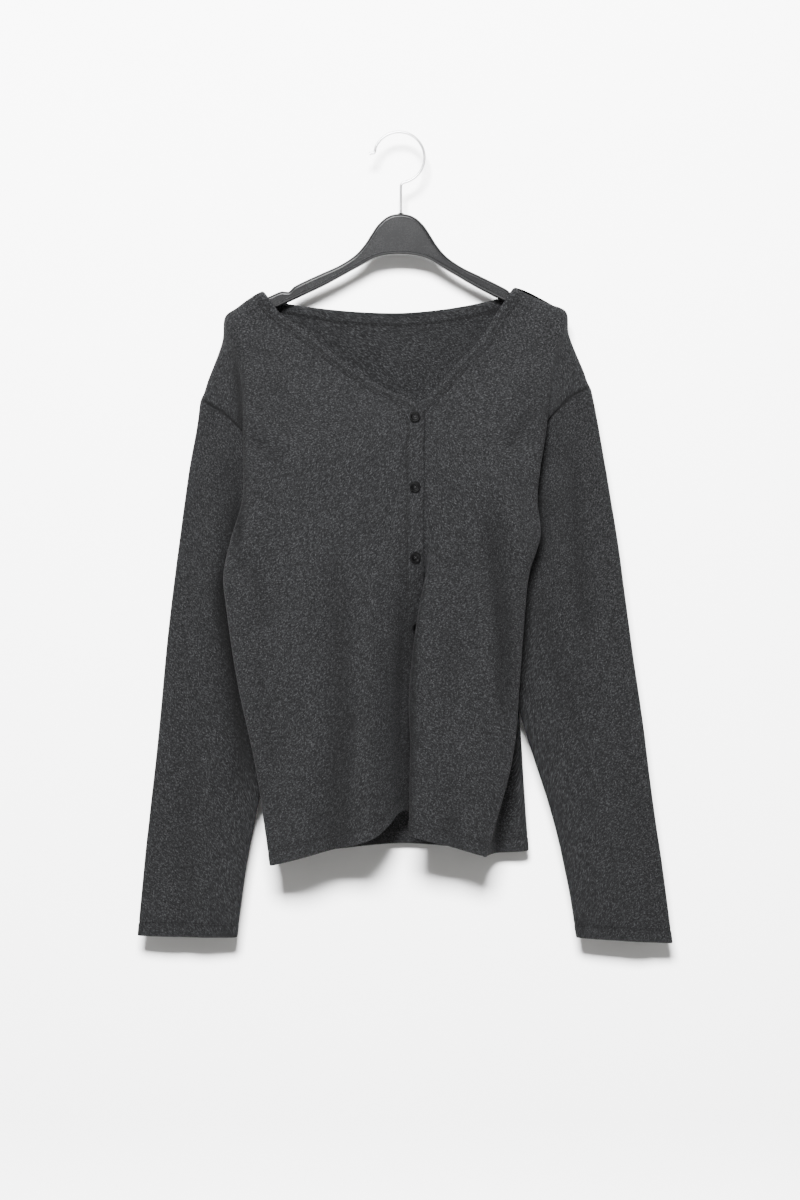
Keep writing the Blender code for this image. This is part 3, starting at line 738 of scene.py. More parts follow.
def jerseyMaterial(name, group, tone=1.0):
    material, nodes, links, shader = emptyMaterial(name)
    flat = nodes.new("ShaderNodeUVMap")
    flat.uv_map = "Flat"
    knit = nodes.new("ShaderNodeGroup")
    knit.node_tree = group
    links.new(flat.outputs[0], knit.inputs["Flat"])
    # reads the painted darkening: crushed nap and painted shade
    napShadeLayer = nodes.new("ShaderNodeAttribute")
    napShadeLayer.attribute_name = "ShadeAndNap"
    links.new(napShadeLayer.outputs["Fac"], knit.inputs["ShadeAndNap"])
    for label, key in (("Dark", "dark"), ("Middle", "middle"), ("Pale", "pale")):
        shade = jersey[key]
        knit.inputs[label].default_value = (shade[0] * tone, shade[1] * tone, shade[2] * tone, 1)
    links.new(knit.outputs["Color"], shader.inputs["Base Color"])
    links.new(knit.outputs["Roughness"], shader.inputs["Roughness"])
    bump = nodes.new("ShaderNodeBump")
    bump.inputs["Strength"].default_value = jersey["bump"]
    bump.inputs["Distance"].default_value = jersey["bumpDepth"]
    links.new(knit.outputs["Height"], bump.inputs["Height"])
    links.new(bump.outputs[0], shader.inputs["Normal"])
    shader.inputs["Sheen Weight"].default_value = jersey["sheen"]
    shader.inputs["Sheen Roughness"].default_value = 0.45
    shader.inputs["Sheen Tint"].default_value = (0.75, 0.76, 0.8, 1)
    shader.inputs["Specular IOR Level"].default_value = 0.18
    return material


def grainGroup():
    # fine grain, faint scuffs and a slow change of gloss on a moulded or drawn surface
    group, given, made = addGroup(
        "surfaceGrain",
        (
            ("Stretch", "NodeSocketVector", (1.0, 1.0, 1.0)), ("Grain Scale", "NodeSocketFloat", 900.0),
            ("Base", "NodeSocketColor", (0.03, 0.03, 0.03, 1)),
            ("Worn", "NodeSocketColor", (0.06, 0.06, 0.06, 1)),
            ("Roughness", "NodeSocketFloat", 0.35), ("Spread", "NodeSocketFloat", 0.15),
        ),
        (("Color", "NodeSocketColor"), ("Roughness", "NodeSocketFloat"), ("Height", "NodeSocketFloat")),
    )
    nodes, links = group.nodes, group.links
    place = nodes.new("ShaderNodeTexCoord").outputs["Object"]
    scaled = nodes.new("ShaderNodeVectorMath")
    scaled.operation = "MULTIPLY"
    links.new(place, scaled.inputs[0])
    links.new(given.outputs["Stretch"], scaled.inputs[1])
    grain = noiseNode(nodes, links, scaled.outputs[0], given.outputs["Grain Scale"], 3.0, 0.6)
    slow = noiseNode(nodes, links, place, 45.0, 4.0, 0.6)
    scuff = noiseNode(nodes, links, stretched(nodes, links, place, (1.0, 1.0, 3.5)), 160.0, 5.0, 0.75)
    scuffMask = rampNode(nodes, links, scuff, ((0.6, (0, 0, 0)), (0.74, (1, 1, 1))))
    mix = nodes.new("ShaderNodeMix")
    mix.data_type = "RGBA"
    links.new(mathNode(nodes, links, "MULTIPLY", scuffMask, 0.5), mix.inputs["Factor"])
    links.new(given.outputs["Base"], mix.inputs["A"])
    links.new(given.outputs["Worn"], mix.inputs["B"])
    links.new(mix.outputs["Result"], made.inputs["Color"])
    change = mathNode(nodes, links, "ADD", mathNode(nodes, links, "MULTIPLY", slow, 0.7), grain)
    change = mathNode(nodes, links, "SUBTRACT", change, 0.85)
    change = mathNode(nodes, links, "MULTIPLY", change, given.outputs["Spread"])
    change = mathNode(nodes, links, "ADD", change, given.outputs["Roughness"])
    links.new(mathNode(nodes, links, "ADD", change, mathNode(nodes, links, "MULTIPLY", scuffMask, 0.08)),
              made.inputs["Roughness"])
    links.new(mathNode(nodes, links, "ADD", grain, mathNode(nodes, links, "MULTIPLY", scuffMask, 0.4)),
              made.inputs["Height"])
    return group


def grainMaterial(name, group, settings):
    material, nodes, links, shader = emptyMaterial(name)
    grain = nodes.new("ShaderNodeGroup")
    grain.node_tree = group
    for label, value in settings["grain"].items():
        grain.inputs[label].default_value = value
    links.new(grain.outputs["Color"], shader.inputs["Base Color"])
    links.new(grain.outputs["Roughness"], shader.inputs["Roughness"])
    bump = nodes.new("ShaderNodeBump")
    bump.inputs["Strength"].default_value = settings["bump"]
    bump.inputs["Distance"].default_value = 0.0001
    links.new(grain.outputs["Height"], bump.inputs["Height"])
    links.new(bump.outputs[0], shader.inputs["Normal"])
    shader.inputs["Metallic"].default_value = settings.get("metallic", 0.0)
    shader.inputs["Specular IOR Level"].default_value = settings.get("specular", 0.5)
    return material

print("materials")
knitGroup = jerseyGroup()
bodyJersey = jerseyMaterial("charcoalMarlJersey", knitGroup)
# the sleeves take the body's jersey 7 % darker: painted shade for sleeves that hang back beside the body
shadedSleeveJersey = jerseyMaterial("charcoalMarlSleeveShaded", knitGroup, 0.93)
surfaceGrain = grainGroup()
hangerPlastic = grainMaterial("satinBlackPlastic", surfaceGrain, {
    "grain": {"Base": (0.01, 0.01, 0.0105, 1), "Worn": (0.022, 0.022, 0.023, 1), "Roughness": 0.27,
              "Spread": 0.08, "Grain Scale": 1300.0},
    "bump": 0.08, "specular": 0.2,
})
wireSteel = grainMaterial("drawnSteelWire", surfaceGrain, {
    "grain": {"Base": (0.62, 0.62, 0.63, 1), "Worn": (0.42, 0.42, 0.43, 1), "Roughness": 0.24,
              "Spread": 0.2, "Grain Scale": 2400.0, "Stretch": (1.0, 1.0, 0.3)},
    "bump": 0.15, "metallic": 1.0,
})
buttonPlastic = grainMaterial("blackButton", surfaceGrain, {
    "grain": {"Base": (0.0015, 0.0015, 0.0016, 1), "Worn": (0.005, 0.005, 0.0052, 1), "Roughness": 0.45,
              "Spread": 0.2, "Grain Scale": 2600.0},
    "bump": 0.12, "specular": 0.07,
})
thread = grainMaterial("charcoalThread", surfaceGrain, {
    "grain": {"Base": (0.006, 0.006, 0.0065, 1), "Worn": (0.014, 0.014, 0.0146, 1), "Roughness": 0.7,
              "Spread": 0.2, "Grain Scale": 5200.0, "Stretch": (1.0, 1.0, 2.0)},
    "bump": 0.5, "specular": 0.3,
})
buttonThread = grainMaterial("buttonThread", surfaceGrain, {
    "grain": {"Base": (0.022, 0.022, 0.023, 1), "Worn": (0.05, 0.05, 0.05, 1), "Roughness": 0.7,
              "Spread": 0.2, "Grain Scale": 5200.0},
    "bump": 0.5, "specular": 0.3,
})


def seamPinch(gap):
    # how far the cloth dives into a seam, by distance from it
    return clothForm["seamPinch"] * np.exp(-((gap / clothForm["seamReach"]) ** 2) * 1.5)


def stitchSink(gap, line):
    return clothForm["stitchSink"] * np.exp(-(((gap - line) / clothForm["stitchWidth"]) ** 2))


outOfReach = 50.0  # mm, a gap past which no crushed nap or shade is painted


def paintNapAndShade(grid, seamGaps, stitchLines, relief, folds):
    # painted darkening: crushed nap and painted shade of the groove in seams and under stitch rows, painted
    # shade in deep troughs and down the listed folds
    # painted shade in the deeper troughs of the relief
    made = np.clip((-relief - 1.2) / 12.0, 0, 0.45)
    made = np.maximum(made, creaseRelief(grid, folds, 1.0))
    for gap in seamGaps:
        made = np.maximum(made, clothForm["seamNapShade"] * np.exp(-((gap / clothForm["seamLine"]) ** 2)))
    for line in stitchLines:
        made = np.maximum(made, clothForm["stitchNapShade"] * np.exp(-((line / clothForm["stitchWidth"]) ** 2)))
    return made


def wallDepths(shape, turnedMask, sunk, pinch):
    # outer and inner half walls: turned edges are thicker, mostly on the inside
    half = clothForm["wall"] / 2
    extra = clothForm["turnedWall"] - clothForm["wall"]
    outDepth = np.full(shape, half) + 0.3 * extra * turnedMask - sunk - 0.8 * pinch
    inDepth = np.full(shape, half) + 0.7 * extra * turnedMask - 0.3 * pinch
    return np.maximum(outDepth, 0.12), np.maximum(inDepth, 0.12)


def dress(piece, node):
    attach(piece, "root")
    if node:
        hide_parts(node)
    return piece


frontEdges = {
    "neckStitches": (6.5, 10.5),   # two rows along the V
    "placketStitch": 17.5,
    "hemDepth": 13.5,
    "cornerRow": 6,
}


def placketLines(rows):
    # inset of the two stitch rows at each grid row: the V's pair, then the placket's single row
    corner = sum(len(s) for s in rowShares[: frontEdges["cornerRow"]])
    share = easeStep(np.arange(rows), corner - 9, corner + 1)
    near, far = frontEdges["neckStitches"]
    return near + 0 * share, far + (frontEdges["placketStitch"] - far) * share, corner


def frontPanel(name, node, front, seed, material):
    rows = frontRows(front)
    level = fillRows(rows, np.ones(rows.shape[1], bool))
    grid = level.copy()
    normals = outwardNormals(grid, False, 1.0)
    if normals[80, 30, 2] > 0:
        normals = -normals
    foldColumn = sum(len(s) for s in frontShares[:4])
    columns = np.arange(grid.shape[1])
    facing = 1 - easeStep(columns, foldColumn - 10, foldColumn + 2)
    shoulder = easeStep(runLengths(grid, 0), 0, 25)
    relief = creaseRelief(grid, front["creases"], facing[None, :] * shoulder)
    relief += unevenness(grid, seed, ((70.0, 2.2), (26.0, 0.7))) * shoulder * (0.25 + 0.75 * facing[None, :])
    edgeGap = runLengths(grid, 1)
    seamGap = edgeGap[:, -1:] - edgeGap
    hemGap = runLengths(grid, 0)
    hemGap = hemGap[-1:] - hemGap
    topGap = runLengths(grid, 0)
    relief *= 0.35 + 0.65 * easeStep(edgeGap, 0, 24)
    grid = grid + normals * relief[..., None]
    normals = outwardNormals(grid, False, 1.0)
    if normals[80, 30, 2] > 0:
        normals = -normals
    near, far, corner = placketLines(grid.shape[0])
    hem = frontEdges["hemDepth"]
    turned = np.maximum(1 - easeStep(edgeGap, far[:, None] - 0.6, far[:, None] + 0.9),
                        1 - easeStep(hemGap, hem - 0.6, hem + 0.9))
    rowNumber = np.arange(grid.shape[0])[:, None]
    sunk = stitchSink(edgeGap, far[:, None]) + stitchSink(edgeGap, near[:, None]) * (rowNumber <= corner)
    sunk = np.maximum(sunk, stitchSink(hemGap, hem))
    pinch = seamPinch(seamGap) + seamPinch(topGap)
    outDepth, inDepth = wallDepths(grid.shape[:2], turned, sunk, pinch)
    outDepth -= 0.35 * np.exp(-((edgeGap / 1.2) ** 2))
    onNeck = np.where(rowNumber <= corner, 0.0, outOfReach)
    stitchLines = (edgeGap - far[:, None], edgeGap - near[:, None] + onNeck, hemGap - hem)
    napAndShade = paintNapAndShade(grid, (seamGap, topGap), stitchLines, relief, front["folds"])
    made = sewnPanel(name, grid, normals, outDepth, inDepth, napAndShade, material, False, front["inward"] > 0)
    surface = grid + normals * outDepth[..., None]
    above = slice(corner + 1)
    runs = [insetLine(surface[above], normals[above], edgeGap[above], frontEdges["neckStitches"][0])]
    longLine = [
        insetLine(surface[r : r + 1], normals[r : r + 1], edgeGap[r : r + 1], far[r])
        for r in range(grid.shape[0] - 8)
    ]
    runs.append((np.concatenate([p for p, _ in longLine]), np.concatenate([n for _, n in longLine])))
    across = surface.transpose(1, 0, 2)[:, ::-1]
    acrossNormals = normals.transpose(1, 0, 2)[:, ::-1]
    runs.append(insetLine(across[3:], acrossNormals[3:], hemGap.T[3:, ::-1], hem))
    stitches = stitchPiece(name + "Stitches", runs, thread)
    dress(made, node)
    dress(stitches, None)
    return made, stitches, surface, normals, level, edgeGap


# Each crease: its path of (across, drop), its width and its height; troughs are negative.
rightFront["creases"] = (
    (((10, 440), (7, 560), (5, 640), (2, 980)), 11.0, -5.5),
    (((-6, 380), (-4, 480), (-6, 600), (-2, 860)), 9.0, 2.0),
    (((-66, 400), (-60, 560), (-62, 640), (-72, 900)), 19.0, -7.0),
    (((-32, 470), (-34, 560), (-33, 860)), 11.0, 3.0),
    (((-112, 380), (-106, 540), (-98, 650), (-104, 900)), 22.0, 4.0),
    (((-172, 318), (-150, 330), (-112, 356)), 10.0, -3.5),
    (((-178, 200), (-171, 236), (-167, 300), (-166, 380), (-168, 480)), 5.5, -5.5),
    (((-146, 215), (-128, 262), (-100, 320)), 16.0, -2.6),
    (((-84, 262), (-92, 330), (-84, 400)), 18.0, 2.2),
    (((-176, 440), (-152, 470), (-138, 540)), 11.0, -4.2),
    (((-158, 520), (-140, 600), (-128, 700)), 13.0, -3.0),
)
leftFront["creases"] = (
    (((24, 440), (18, 510), (15, 574), (14, 650)), 9.0, 3.0),
    (((90, 380), (98, 430), (106, 480), (111, 540), (113, 640)), 10.0, -9.0),
    (((92, 340), (112, 395), (132, 446), (144, 500)), 12.0, 7.0),
    (((108, 490), (113, 530), (111, 575)), 7.0, -3.0),
    (((150, 286), (132, 312), (112, 348)), 10.0, -3.5),
    (((154, 300), (146, 380), (146, 440)), 9.0, -3.0),
    (((60, 300), (66, 380), (60, 470)), 18.0, 2.4),
    (((56, 470), (60, 580), (54, 860)), 14.0, -2.4),
    (((86, 560), (82, 650), (76, 860)), 11.0, 3.0),
    (((128, 520), (120, 600), (110, 700)), 9.0, -3.4),
)
# Shade painted down a fold, placed one by one: its path, its width and how strong it is.
rightFront["folds"] = (
    (((24, 430), (21, 486), (17, 517), (15, 560), (14, 602), (12, 645), (10, 745), (9, 980)), 8.0, 0.75),
    (((-178, 200), (-171, 230), (-167, 290), (-166, 343), (-165, 383), (-172, 470)), 6.0, 0.7),
    (((-66, 420), (-60, 560), (-62, 640), (-70, 860)), 16.0, 0.08),
)
leftFront["folds"] = (
    (((24, 420), (21, 486), (17, 517), (15, 560), (14, 602), (12, 645), (10, 745), (9, 980)), 5.0, 0.7),
    (((152, 270), (153, 323), (147, 380), (151, 426)), 5.0, 0.3),
    (((88, 376), (100, 405), (105, 454), (116, 540), (118, 640)), 11.0, 0.3),
)

print("front panels")
rightPanel = frontPanel("rightFrontPanel", "front_right", rightFront, 3.1, bodyJersey)
leftPanel = frontPanel("leftFrontPanel", "front_left", leftFront, 8.7, bodyJersey)


def backPiece(seed, material):
    rows = backRows()
    neckFirst = sum(len(s) for s in backShares[:5])
    neckLast = sum(len(s) for s in backShares[:9])
    columns = np.arange(rows.shape[1])
    overShoulder = (columns <= neckFirst) | (columns >= neckLast)
    level = fillRows(rows, overShoulder)
    grid = level.copy()
    normals = outwardNormals(grid, False, 1.0)
    if normals[80, 80, 2] < 0:
        normals = -normals
    foldFirst = sum(len(s) for s in backShares[:3])
    facing = easeStep(columns, foldFirst - 2, foldFirst + 12)
    facing = facing * easeStep(columns[::-1], foldFirst - 2, foldFirst + 12)
    topGap = runLengths(grid, 0)
    hemGap = topGap[-1:] - topGap
    sideGap = runLengths(grid, 1)
    sideGap = np.minimum(sideGap, sideGap[:, -1:] - sideGap)
    relief = creaseRelief(grid, backPanel["creases"], facing[None, :] * easeStep(topGap, 5, 40))
    uneven = unevenness(grid, seed, ((75.0, 1.6), (28.0, 0.5)))
    relief += uneven * easeStep(topGap, 0, 30) * (0.3 + 0.7 * facing)
    grid = grid + normals * relief[..., None]
    normals = outwardNormals(grid, False, 1.0)
    if normals[80, 80, 2] < 0:
        normals = -normals
    hem = frontEdges["hemDepth"]
    neck = backPanel["neckStitch"]
    atNeck = easeStep(columns, neckFirst - 2, neckFirst + 1)
    atNeck = atNeck * (1 - easeStep(columns, neckLast - 1, neckLast + 2))
    turned = np.maximum(1 - easeStep(hemGap, hem - 0.6, hem + 0.9),
                        (1 - easeStep(topGap, neck - 0.6, neck + 0.9)) * atNeck[None, :])
    sunk = np.maximum(stitchSink(hemGap, hem), stitchSink(topGap, neck) * atNeck[None, :])
    pinch = seamPinch(sideGap) + seamPinch(topGap) * (1 - atNeck[None, :])
    outDepth, inDepth = wallDepths(grid.shape[:2], turned, sunk, pinch)
    offNeck = (1 - atNeck)[None, :] * outOfReach
    seamGaps = (sideGap, topGap + outOfReach - offNeck)
    stitchLines = (hemGap - hem, topGap - neck + offNeck)
    napAndShade = paintNapAndShade(grid, seamGaps, stitchLines, 0 * relief, ())
    made = sewnPanel("backPanel", grid, normals, outDepth, inDepth, napAndShade, material, False, False)
    outer = grid + normals * outDepth[..., None]
    inner = grid - normals * inDepth[..., None]
    runs = []
    for surface, facingNormals in ((outer, normals), (inner, -normals)):
        turnedUp = surface.transpose(1, 0, 2)
        turnedNormals = facingNormals.transpose(1, 0, 2)
        neckSlice = slice(neckFirst, neckLast + 1)
        runs.append(insetLine(turnedUp[neckSlice], turnedNormals[neckSlice], topGap.T[neckSlice], neck))
        runs.append(insetLine(turnedUp[:, ::-1], turnedNormals[:, ::-1], hemGap.T[:, ::-1], hem))
    stitches = stitchPiece("backStitches", runs, thread)
    dress(made, "back")
    dress(stitches, None)
    return made, stitches, level


backPanel["neckStitch"] = 12.0
backPanel["creases"] = (
    (((-120, 300), (-90, 420), (-96, 560), (-84, 720)), 26.0, -2.6),
    (((-60, 380), (-44, 520), (-50, 700)), 24.0, 1.8),
    (((10, 330), (4, 480), (12, 730)), 22.0, -1.6),
    (((96, 320), (70, 430), (72, 560), (64, 720)), 24.0, -2.4),
    (((130, 330), (112, 400), (108, 520)), 16.0, 1.6),
    (((-150, 250), (-120, 330)), 16.0, -1.6),
    (((140, 250), (116, 330)), 16.0, -1.6),
)
print("back panel")
back = backPiece(15.3, bodyJersey)


def sleevePiece(name, node, front, sleeve, seed, material):
    frontLevel = front[4]
    backLevel = back[2]
    grid = sleeveRings(frontLevel, backLevel, sleeve)
    normals = outwardNormals(grid, True, 1.0)
    if normals[100, 30, 2] > 0:
        normals = -normals
    topGap = runLengths(grid, 0)
    cuffGap = topGap[-1:] - topGap
    half = grid.shape[1] // 2
    around = np.arange(grid.shape[1])
    frontSide = (around <= half).astype(float)
    edgeCalm = np.sin(np.clip(around % half / half, 0, 1) * math.pi)[None, :] ** 0.5
    calm = easeStep(topGap, 2, 30) * (0.25 + 0.75 * edgeCalm)
    relief = creaseRelief(grid, sleeve["creases"], calm * frontSide)
    relief += creaseRelief(grid, sleeve["backCreases"], calm * (1 - frontSide))
    relief += unevenness(grid, seed, ((60.0, 1.9), (24.0, 0.6))) * calm
    grid = grid + normals * relief[..., None]
    normals = outwardNormals(grid, True, 1.0)
    if normals[100, 30, 2] > 0:
        normals = -normals
    cuff = sleeve["cuffDepth"]
    turned = 1 - easeStep(cuffGap, cuff - 0.6, cuff + 0.9)
    sunk = stitchSink(cuffGap, cuff)
    pinch = seamPinch(topGap)
    outDepth, inDepth = wallDepths(grid.shape[:2], turned, sunk, pinch)
    underarm = np.minimum(np.abs(around - half), 3)
    outDepth -= (0.25 * np.exp(-(underarm / 1.2) ** 2))[None, :]
    napAndShade = paintNapAndShade(grid, (topGap,), (cuffGap - cuff,), relief, sleeve["folds"])
    made = sewnPanel(name, grid, normals, outDepth, inDepth, napAndShade, material, True, front is rightPanel)
    surface = grid + normals * outDepth[..., None]
    ringPlaces = np.concatenate([surface, surface[:, :1]], axis=1).transpose(1, 0, 2)[:, ::-1]
    ringNormals = np.concatenate([normals, normals[:, :1]], axis=1).transpose(1, 0, 2)[:, ::-1]
    ringGap = np.concatenate([cuffGap, cuffGap[:, :1]], axis=1).T[:, ::-1]
    stitches = stitchPiece(name + "Stitches", [insetLine(ringPlaces, ringNormals, ringGap, cuff)], thread)
    dress(made, node)
    dress(stitches, None)
    return made, stitches


rightSleeve["cuffDepth"] = 13.0
leftSleeve["cuffDepth"] = 13.0
rightSleeve["creases"] = (
    (((-208, 320), (-194, 400), (-200, 520)), 13.0, 3.0),
    (((-178, 330), (-176, 420), (-190, 560)), 10.0, -4.0),
    (((-178, 460), (-174, 540), (-170, 620), (-160, 740)), 12.0, -7.0),
    (((-150, 360), (-146, 420), (-150, 470)), 12.0, 2.6),
    (((-226, 520), (-216, 660), (-226, 900)), 14.0, -2.8),
    (((-196, 620), (-204, 720), (-214, 900)), 12.0, 2.0),
)
leftSleeve["creases"] = (
    (((186, 320), (188, 400), (194, 470), (204, 560)), 9.0, -4.6),
    (((164, 340), (170, 420), (178, 500)), 12.0, 4.6),
    (((206, 330), (222, 440), (232, 560)), 10.0, 2.8),
    (((140, 450), (168, 560), (200, 680)), 13.0, -3.2),
    (((216, 620), (236, 740), (254, 900)), 14.0, 2.2),
    (((244, 640), (262, 760), (272, 900)), 10.0, -2.0),
)
rightSleeve["backCreases"] = (
    (((-176, 350), (-180, 460), (-200, 600)), 14.0, -1.8),
    (((-200, 620), (-220, 760)), 16.0, 1.4),
)
leftSleeve["backCreases"] = (
    (((170, 350), (184, 460), (206, 600)), 14.0, -1.8),
    (((220, 640), (240, 780)), 16.0, 1.4),
)
# Shade painted down each sleeve where the body's edge overhangs it: its path, its width and how strong it is.
rightSleeve["folds"] = (
    (((-168, 330), (-170, 385), (-174, 440), (-187, 480), (-185, 520), (-178, 560),
      (-170, 620), (-160, 670), (-148, 730)), 9.0, 0.85),
)
leftSleeve["folds"] = (
    (((152, 290), (151, 323), (146, 380), (149, 426), (134, 473), (128, 566), (126, 620)), 8.0, 0.6),
)
print("sleeves")
rightArm = sleevePiece("rightSleeveTube", "sleeve_right", rightPanel, rightSleeve, 21.9, shadedSleeveJersey)
leftArm = sleevePiece("leftSleeveTube", "sleeve_left", leftPanel, leftSleeve, 27.4, shadedSleeveJersey)


def linkObject(name, mesh, finish):
    mesh.materials.clear()
    mesh.materials.append(finish)
    made = bpy.data.objects.new(name, mesh)
    bpy.context.scene.collection.objects.link(made)
    return made


def joinMeshes(name, objects, finish):
    graph = bpy.context.evaluated_depsgraph_get()
    joined = bmesh.new()
    for part in objects:
        mesh = part.evaluated_get(graph).to_mesh()
        mesh.transform(part.matrix_world)
        joined.from_mesh(mesh)
        part.evaluated_get(graph).to_mesh_clear()
    mesh = bpy.data.meshes.new(name)
    joined.to_mesh(mesh)
    joined.free()
    for part in objects:
        bpy.data.objects.remove(part)
    mesh.shade_smooth()
    return linkObject(name, mesh, finish)


def roundedOutline(points, spacing):
    # a closed curve through the outline, even steps, corners kept tight
    points = np.array(points, float)
    closed = np.vstack([points[-1:], points, points[:2]])
    spans = []
    for start, end in zip(points, np.roll(points, -1, axis=0)):
        spans.append(evenly(max(int(np.linalg.norm(end - start) / spacing), 1)))
    return smoothThrough(closed, spans)[:-1]


def plateCurve(name, outline, extrude, roundness, resolution):
    curve = bpy.data.curves.new(name, "CURVE")
    curve.dimensions = "2D"
    curve.fill_mode = "BOTH"
    curve.extrude = extrude * mm
    curve.bevel_depth = roundness * mm
    curve.offset = -roundness * mm
    curve.bevel_resolution = resolution
    line = curve.splines.new("POLY")
    line.points.add(len(outline) - 1)
    for point, (across, drop) in zip(line.points, outline):
        point.co = (across * mm, -drop * mm, 0.0, 1.0)
    line.use_cyclic_u = True
    made = bpy.data.objects.new(name, curve)
    bpy.context.scene.collection.objects.link(made)
    made.rotation_euler = (math.pi / 2, 0.0, 0.0)
    bpy.context.view_layer.update()
    return made


def beadCurve(name, points, radius, closed):
    curve = bpy.data.curves.new(name, "CURVE")
    curve.dimensions = "3D"
    curve.bevel_depth = radius * mm
    curve.bevel_resolution = 3
    curve.use_fill_caps = True
    line = curve.splines.new("POLY")
    line.points.add(len(points) - 1)
    for point, (across, drop, depth) in zip(line.points, points):
        point.co = (across * mm, depth * mm, -drop * mm, 1.0)
    line.use_cyclic_u = closed
    made = bpy.data.objects.new(name, curve)
    bpy.context.scene.collection.objects.link(made)
    return made


def hangerOutline():
    half = list(hanger["top"]) + list(hanger["bottom"])
    tilt = math.tan(hanger["tilt"])
    middle = hanger["shankAcross"]
    outline = [(middle - across, drop - across * tilt) for across, drop in half]
    outline += [(middle + across, drop + across * tilt) for across, drop in half[-2:0:-1]]
    return roundedOutline(outline, 2.5)


def makeHanger():
    outline = hangerOutline()
    flatDepth = hanger["halfDepth"] - hanger["edgeRound"]
    plate = plateCurve("hangerPlate", outline, flatDepth, hanger["edgeRound"], 6)
    # a fine raised flange line runs round both faces, just inside the edge
    inward = np.roll(outline, -1, axis=0) - np.roll(outline, 1, axis=0)
    inward = unit(np.stack([-inward[:, 1], inward[:, 0]], axis=1))
    area = np.sum(outline[:, 0] * np.roll(outline[:, 1], -1) - np.roll(outline[:, 0], -1) * outline[:, 1])
    inward *= 1 if area > 0 else -1
    line = outline + inward * 3.7
    parts = [plate]
    for face in (-1, 1):
        beads = [(x, z, face * (hanger["halfDepth"] - 0.05)) for x, z in line]
        parts.append(beadCurve("hangerBead", beads, 0.42, True))
    # a low collar round the mouth of the shank's socket
    collar = [(hanger["shankAcross"], hanger["top"][0][1] + lift, 0.0) for lift in (-0.8, 2.0)]
    parts.append(beadCurve("hangerCollar", collar, 2.9, False))
    made = joinMeshes("hangerArms", parts, hangerPlastic)
    return dress(made, "hanger_body")


def makeHook():
    radius, drop = hook["radius"], hook["centreDrop"]
    path = [(-31.0, 21.5), (-29.0, 21.0), (-26.2, 20.6)]
    for degrees in range(156, -79, -8):
        angle = math.radians(degrees)
        path.append((radius * math.cos(angle), drop - radius * math.sin(angle)))
    path += [hook["bend"], (2.3, 54.6), (hanger["shankAcross"], 57.0), (hanger["shankAcross"], 70.0),
             (hanger["shankAcross"], hook["shankEnd"])]
    path = np.array([(x, z, 0.0) for x, z in path])
    ends = np.vstack([2 * path[:1] - path[1:2], path, 2 * path[-1:] - path[-2:-1]])
    smooth = smoothThrough(ends, [evenly(4)] * (len(path) - 1))
    wire = beadCurve("hookWire", smooth, hook["wire"], False)
    wire.data.bevel_resolution = 6
    tip = beadCurve("hookTip", [(-31.4, 21.6, 0.0), (-30.2, 21.3, 0.0)], hook["wire"] * 1.25, False)
    made = joinMeshes("hookWire", [wire, tip], wireSteel)
    return dress(made, "hanger_hook")


print("hanger and hook")
makeHanger()
makeHook()

button = {
    "radius": 5.7, "height": 2.4, "first": 303.0, "spacing": 73.5, "count": 6,
    "holes": 4, "holeRadius": 0.62, "holeRing": 1.5,
    "profile": (
        (0.0, 0.62), (0.5, 0.6), (0.6, 0.66), (0.68, 0.9), (0.76, 1.0), (0.86, 1.0), (0.94, 0.92),
        (0.99, 0.74), (1.0, 0.5), (0.97, 0.24), (0.9, 0.08), (0.78, 0.0), (0.0, 0.0),
    ),
    "turns": 40,
    "threadRadius": 0.2,
    "holeSlit": 13.0,
}


def buttonMesh():
    # a turned disc with a raised rim and four bored holes
    shape = bmesh.new()
    turns = button["turns"]
    rings = []
    for across, up in button["profile"]:
        if across == 0:
            rings.append([shape.verts.new((0, 0, up * button["height"] * mm))])
            continue
        ring = []
        for k in range(turns):
            angle = 2 * math.pi * k / turns
            reach = across * button["radius"] * mm
            height = up * button["height"] * mm
            ring.append(shape.verts.new((reach * math.cos(angle), reach * math.sin(angle), height)))
        rings.append(ring)
    for upper, lower in zip(rings[:-1], rings[1:]):
        for k in range(turns):
            following = (k + 1) % turns
            if len(upper) == 1:
                shape.faces.new((upper[0], lower[k], lower[following]))
            elif len(lower) == 1:
                shape.faces.new((upper[k], lower[0], upper[following]))
            else:
                shape.faces.new((upper[k], lower[k], lower[following], upper[following]))
    bmesh.ops.recalc_face_normals(shape, faces=shape.faces)
    mesh = bpy.data.meshes.new("buttonDisc")
    shape.to_mesh(mesh)
    shape.free()
    disc = linkObject("buttonDisc", mesh, buttonPlastic)
    drills = bmesh.new()
    for k in range(button["holes"]):
        angle = math.pi / 4 + 2 * math.pi * k / button["holes"]
        made = bmesh.ops.create_cone(
            drills, cap_ends=True, segments=14, radius1=button["holeRadius"] * mm,
            radius2=button["holeRadius"] * mm, depth=8 * mm,
        )
        shift = Vector((math.cos(angle), math.sin(angle), 0)) * button["holeRing"] * mm
        bmesh.ops.translate(drills, verts=made["verts"], vec=shift)
    drillMesh = bpy.data.meshes.new("buttonDrill")
    drills.to_mesh(drillMesh)
    drills.free()
    drill = linkObject("buttonDrill", drillMesh, buttonPlastic)
    cut = disc.modifiers.new("Holes", "BOOLEAN")
    cut.object = drill
    cut.solver = "EXACT"
    bpy.context.view_layer.update()
    graph = bpy.context.evaluated_depsgraph_get()
    drilled = bpy.data.meshes.new_from_object(disc.evaluated_get(graph))
    bpy.data.objects.remove(disc)
    bpy.data.objects.remove(drill)
    drilled.shade_smooth()
    drilled.set_sharp_from_angle(angle=math.radians(38))
    return drilled


# The arch of one thread over the button: how far along it, and how high.
threadArch = ((-1.0, -0.9), (-0.92, 0.0), (-0.6, 0.3), (0.0, 0.4), (0.6, 0.3), (0.92, 0.0), (1.0, -0.9))


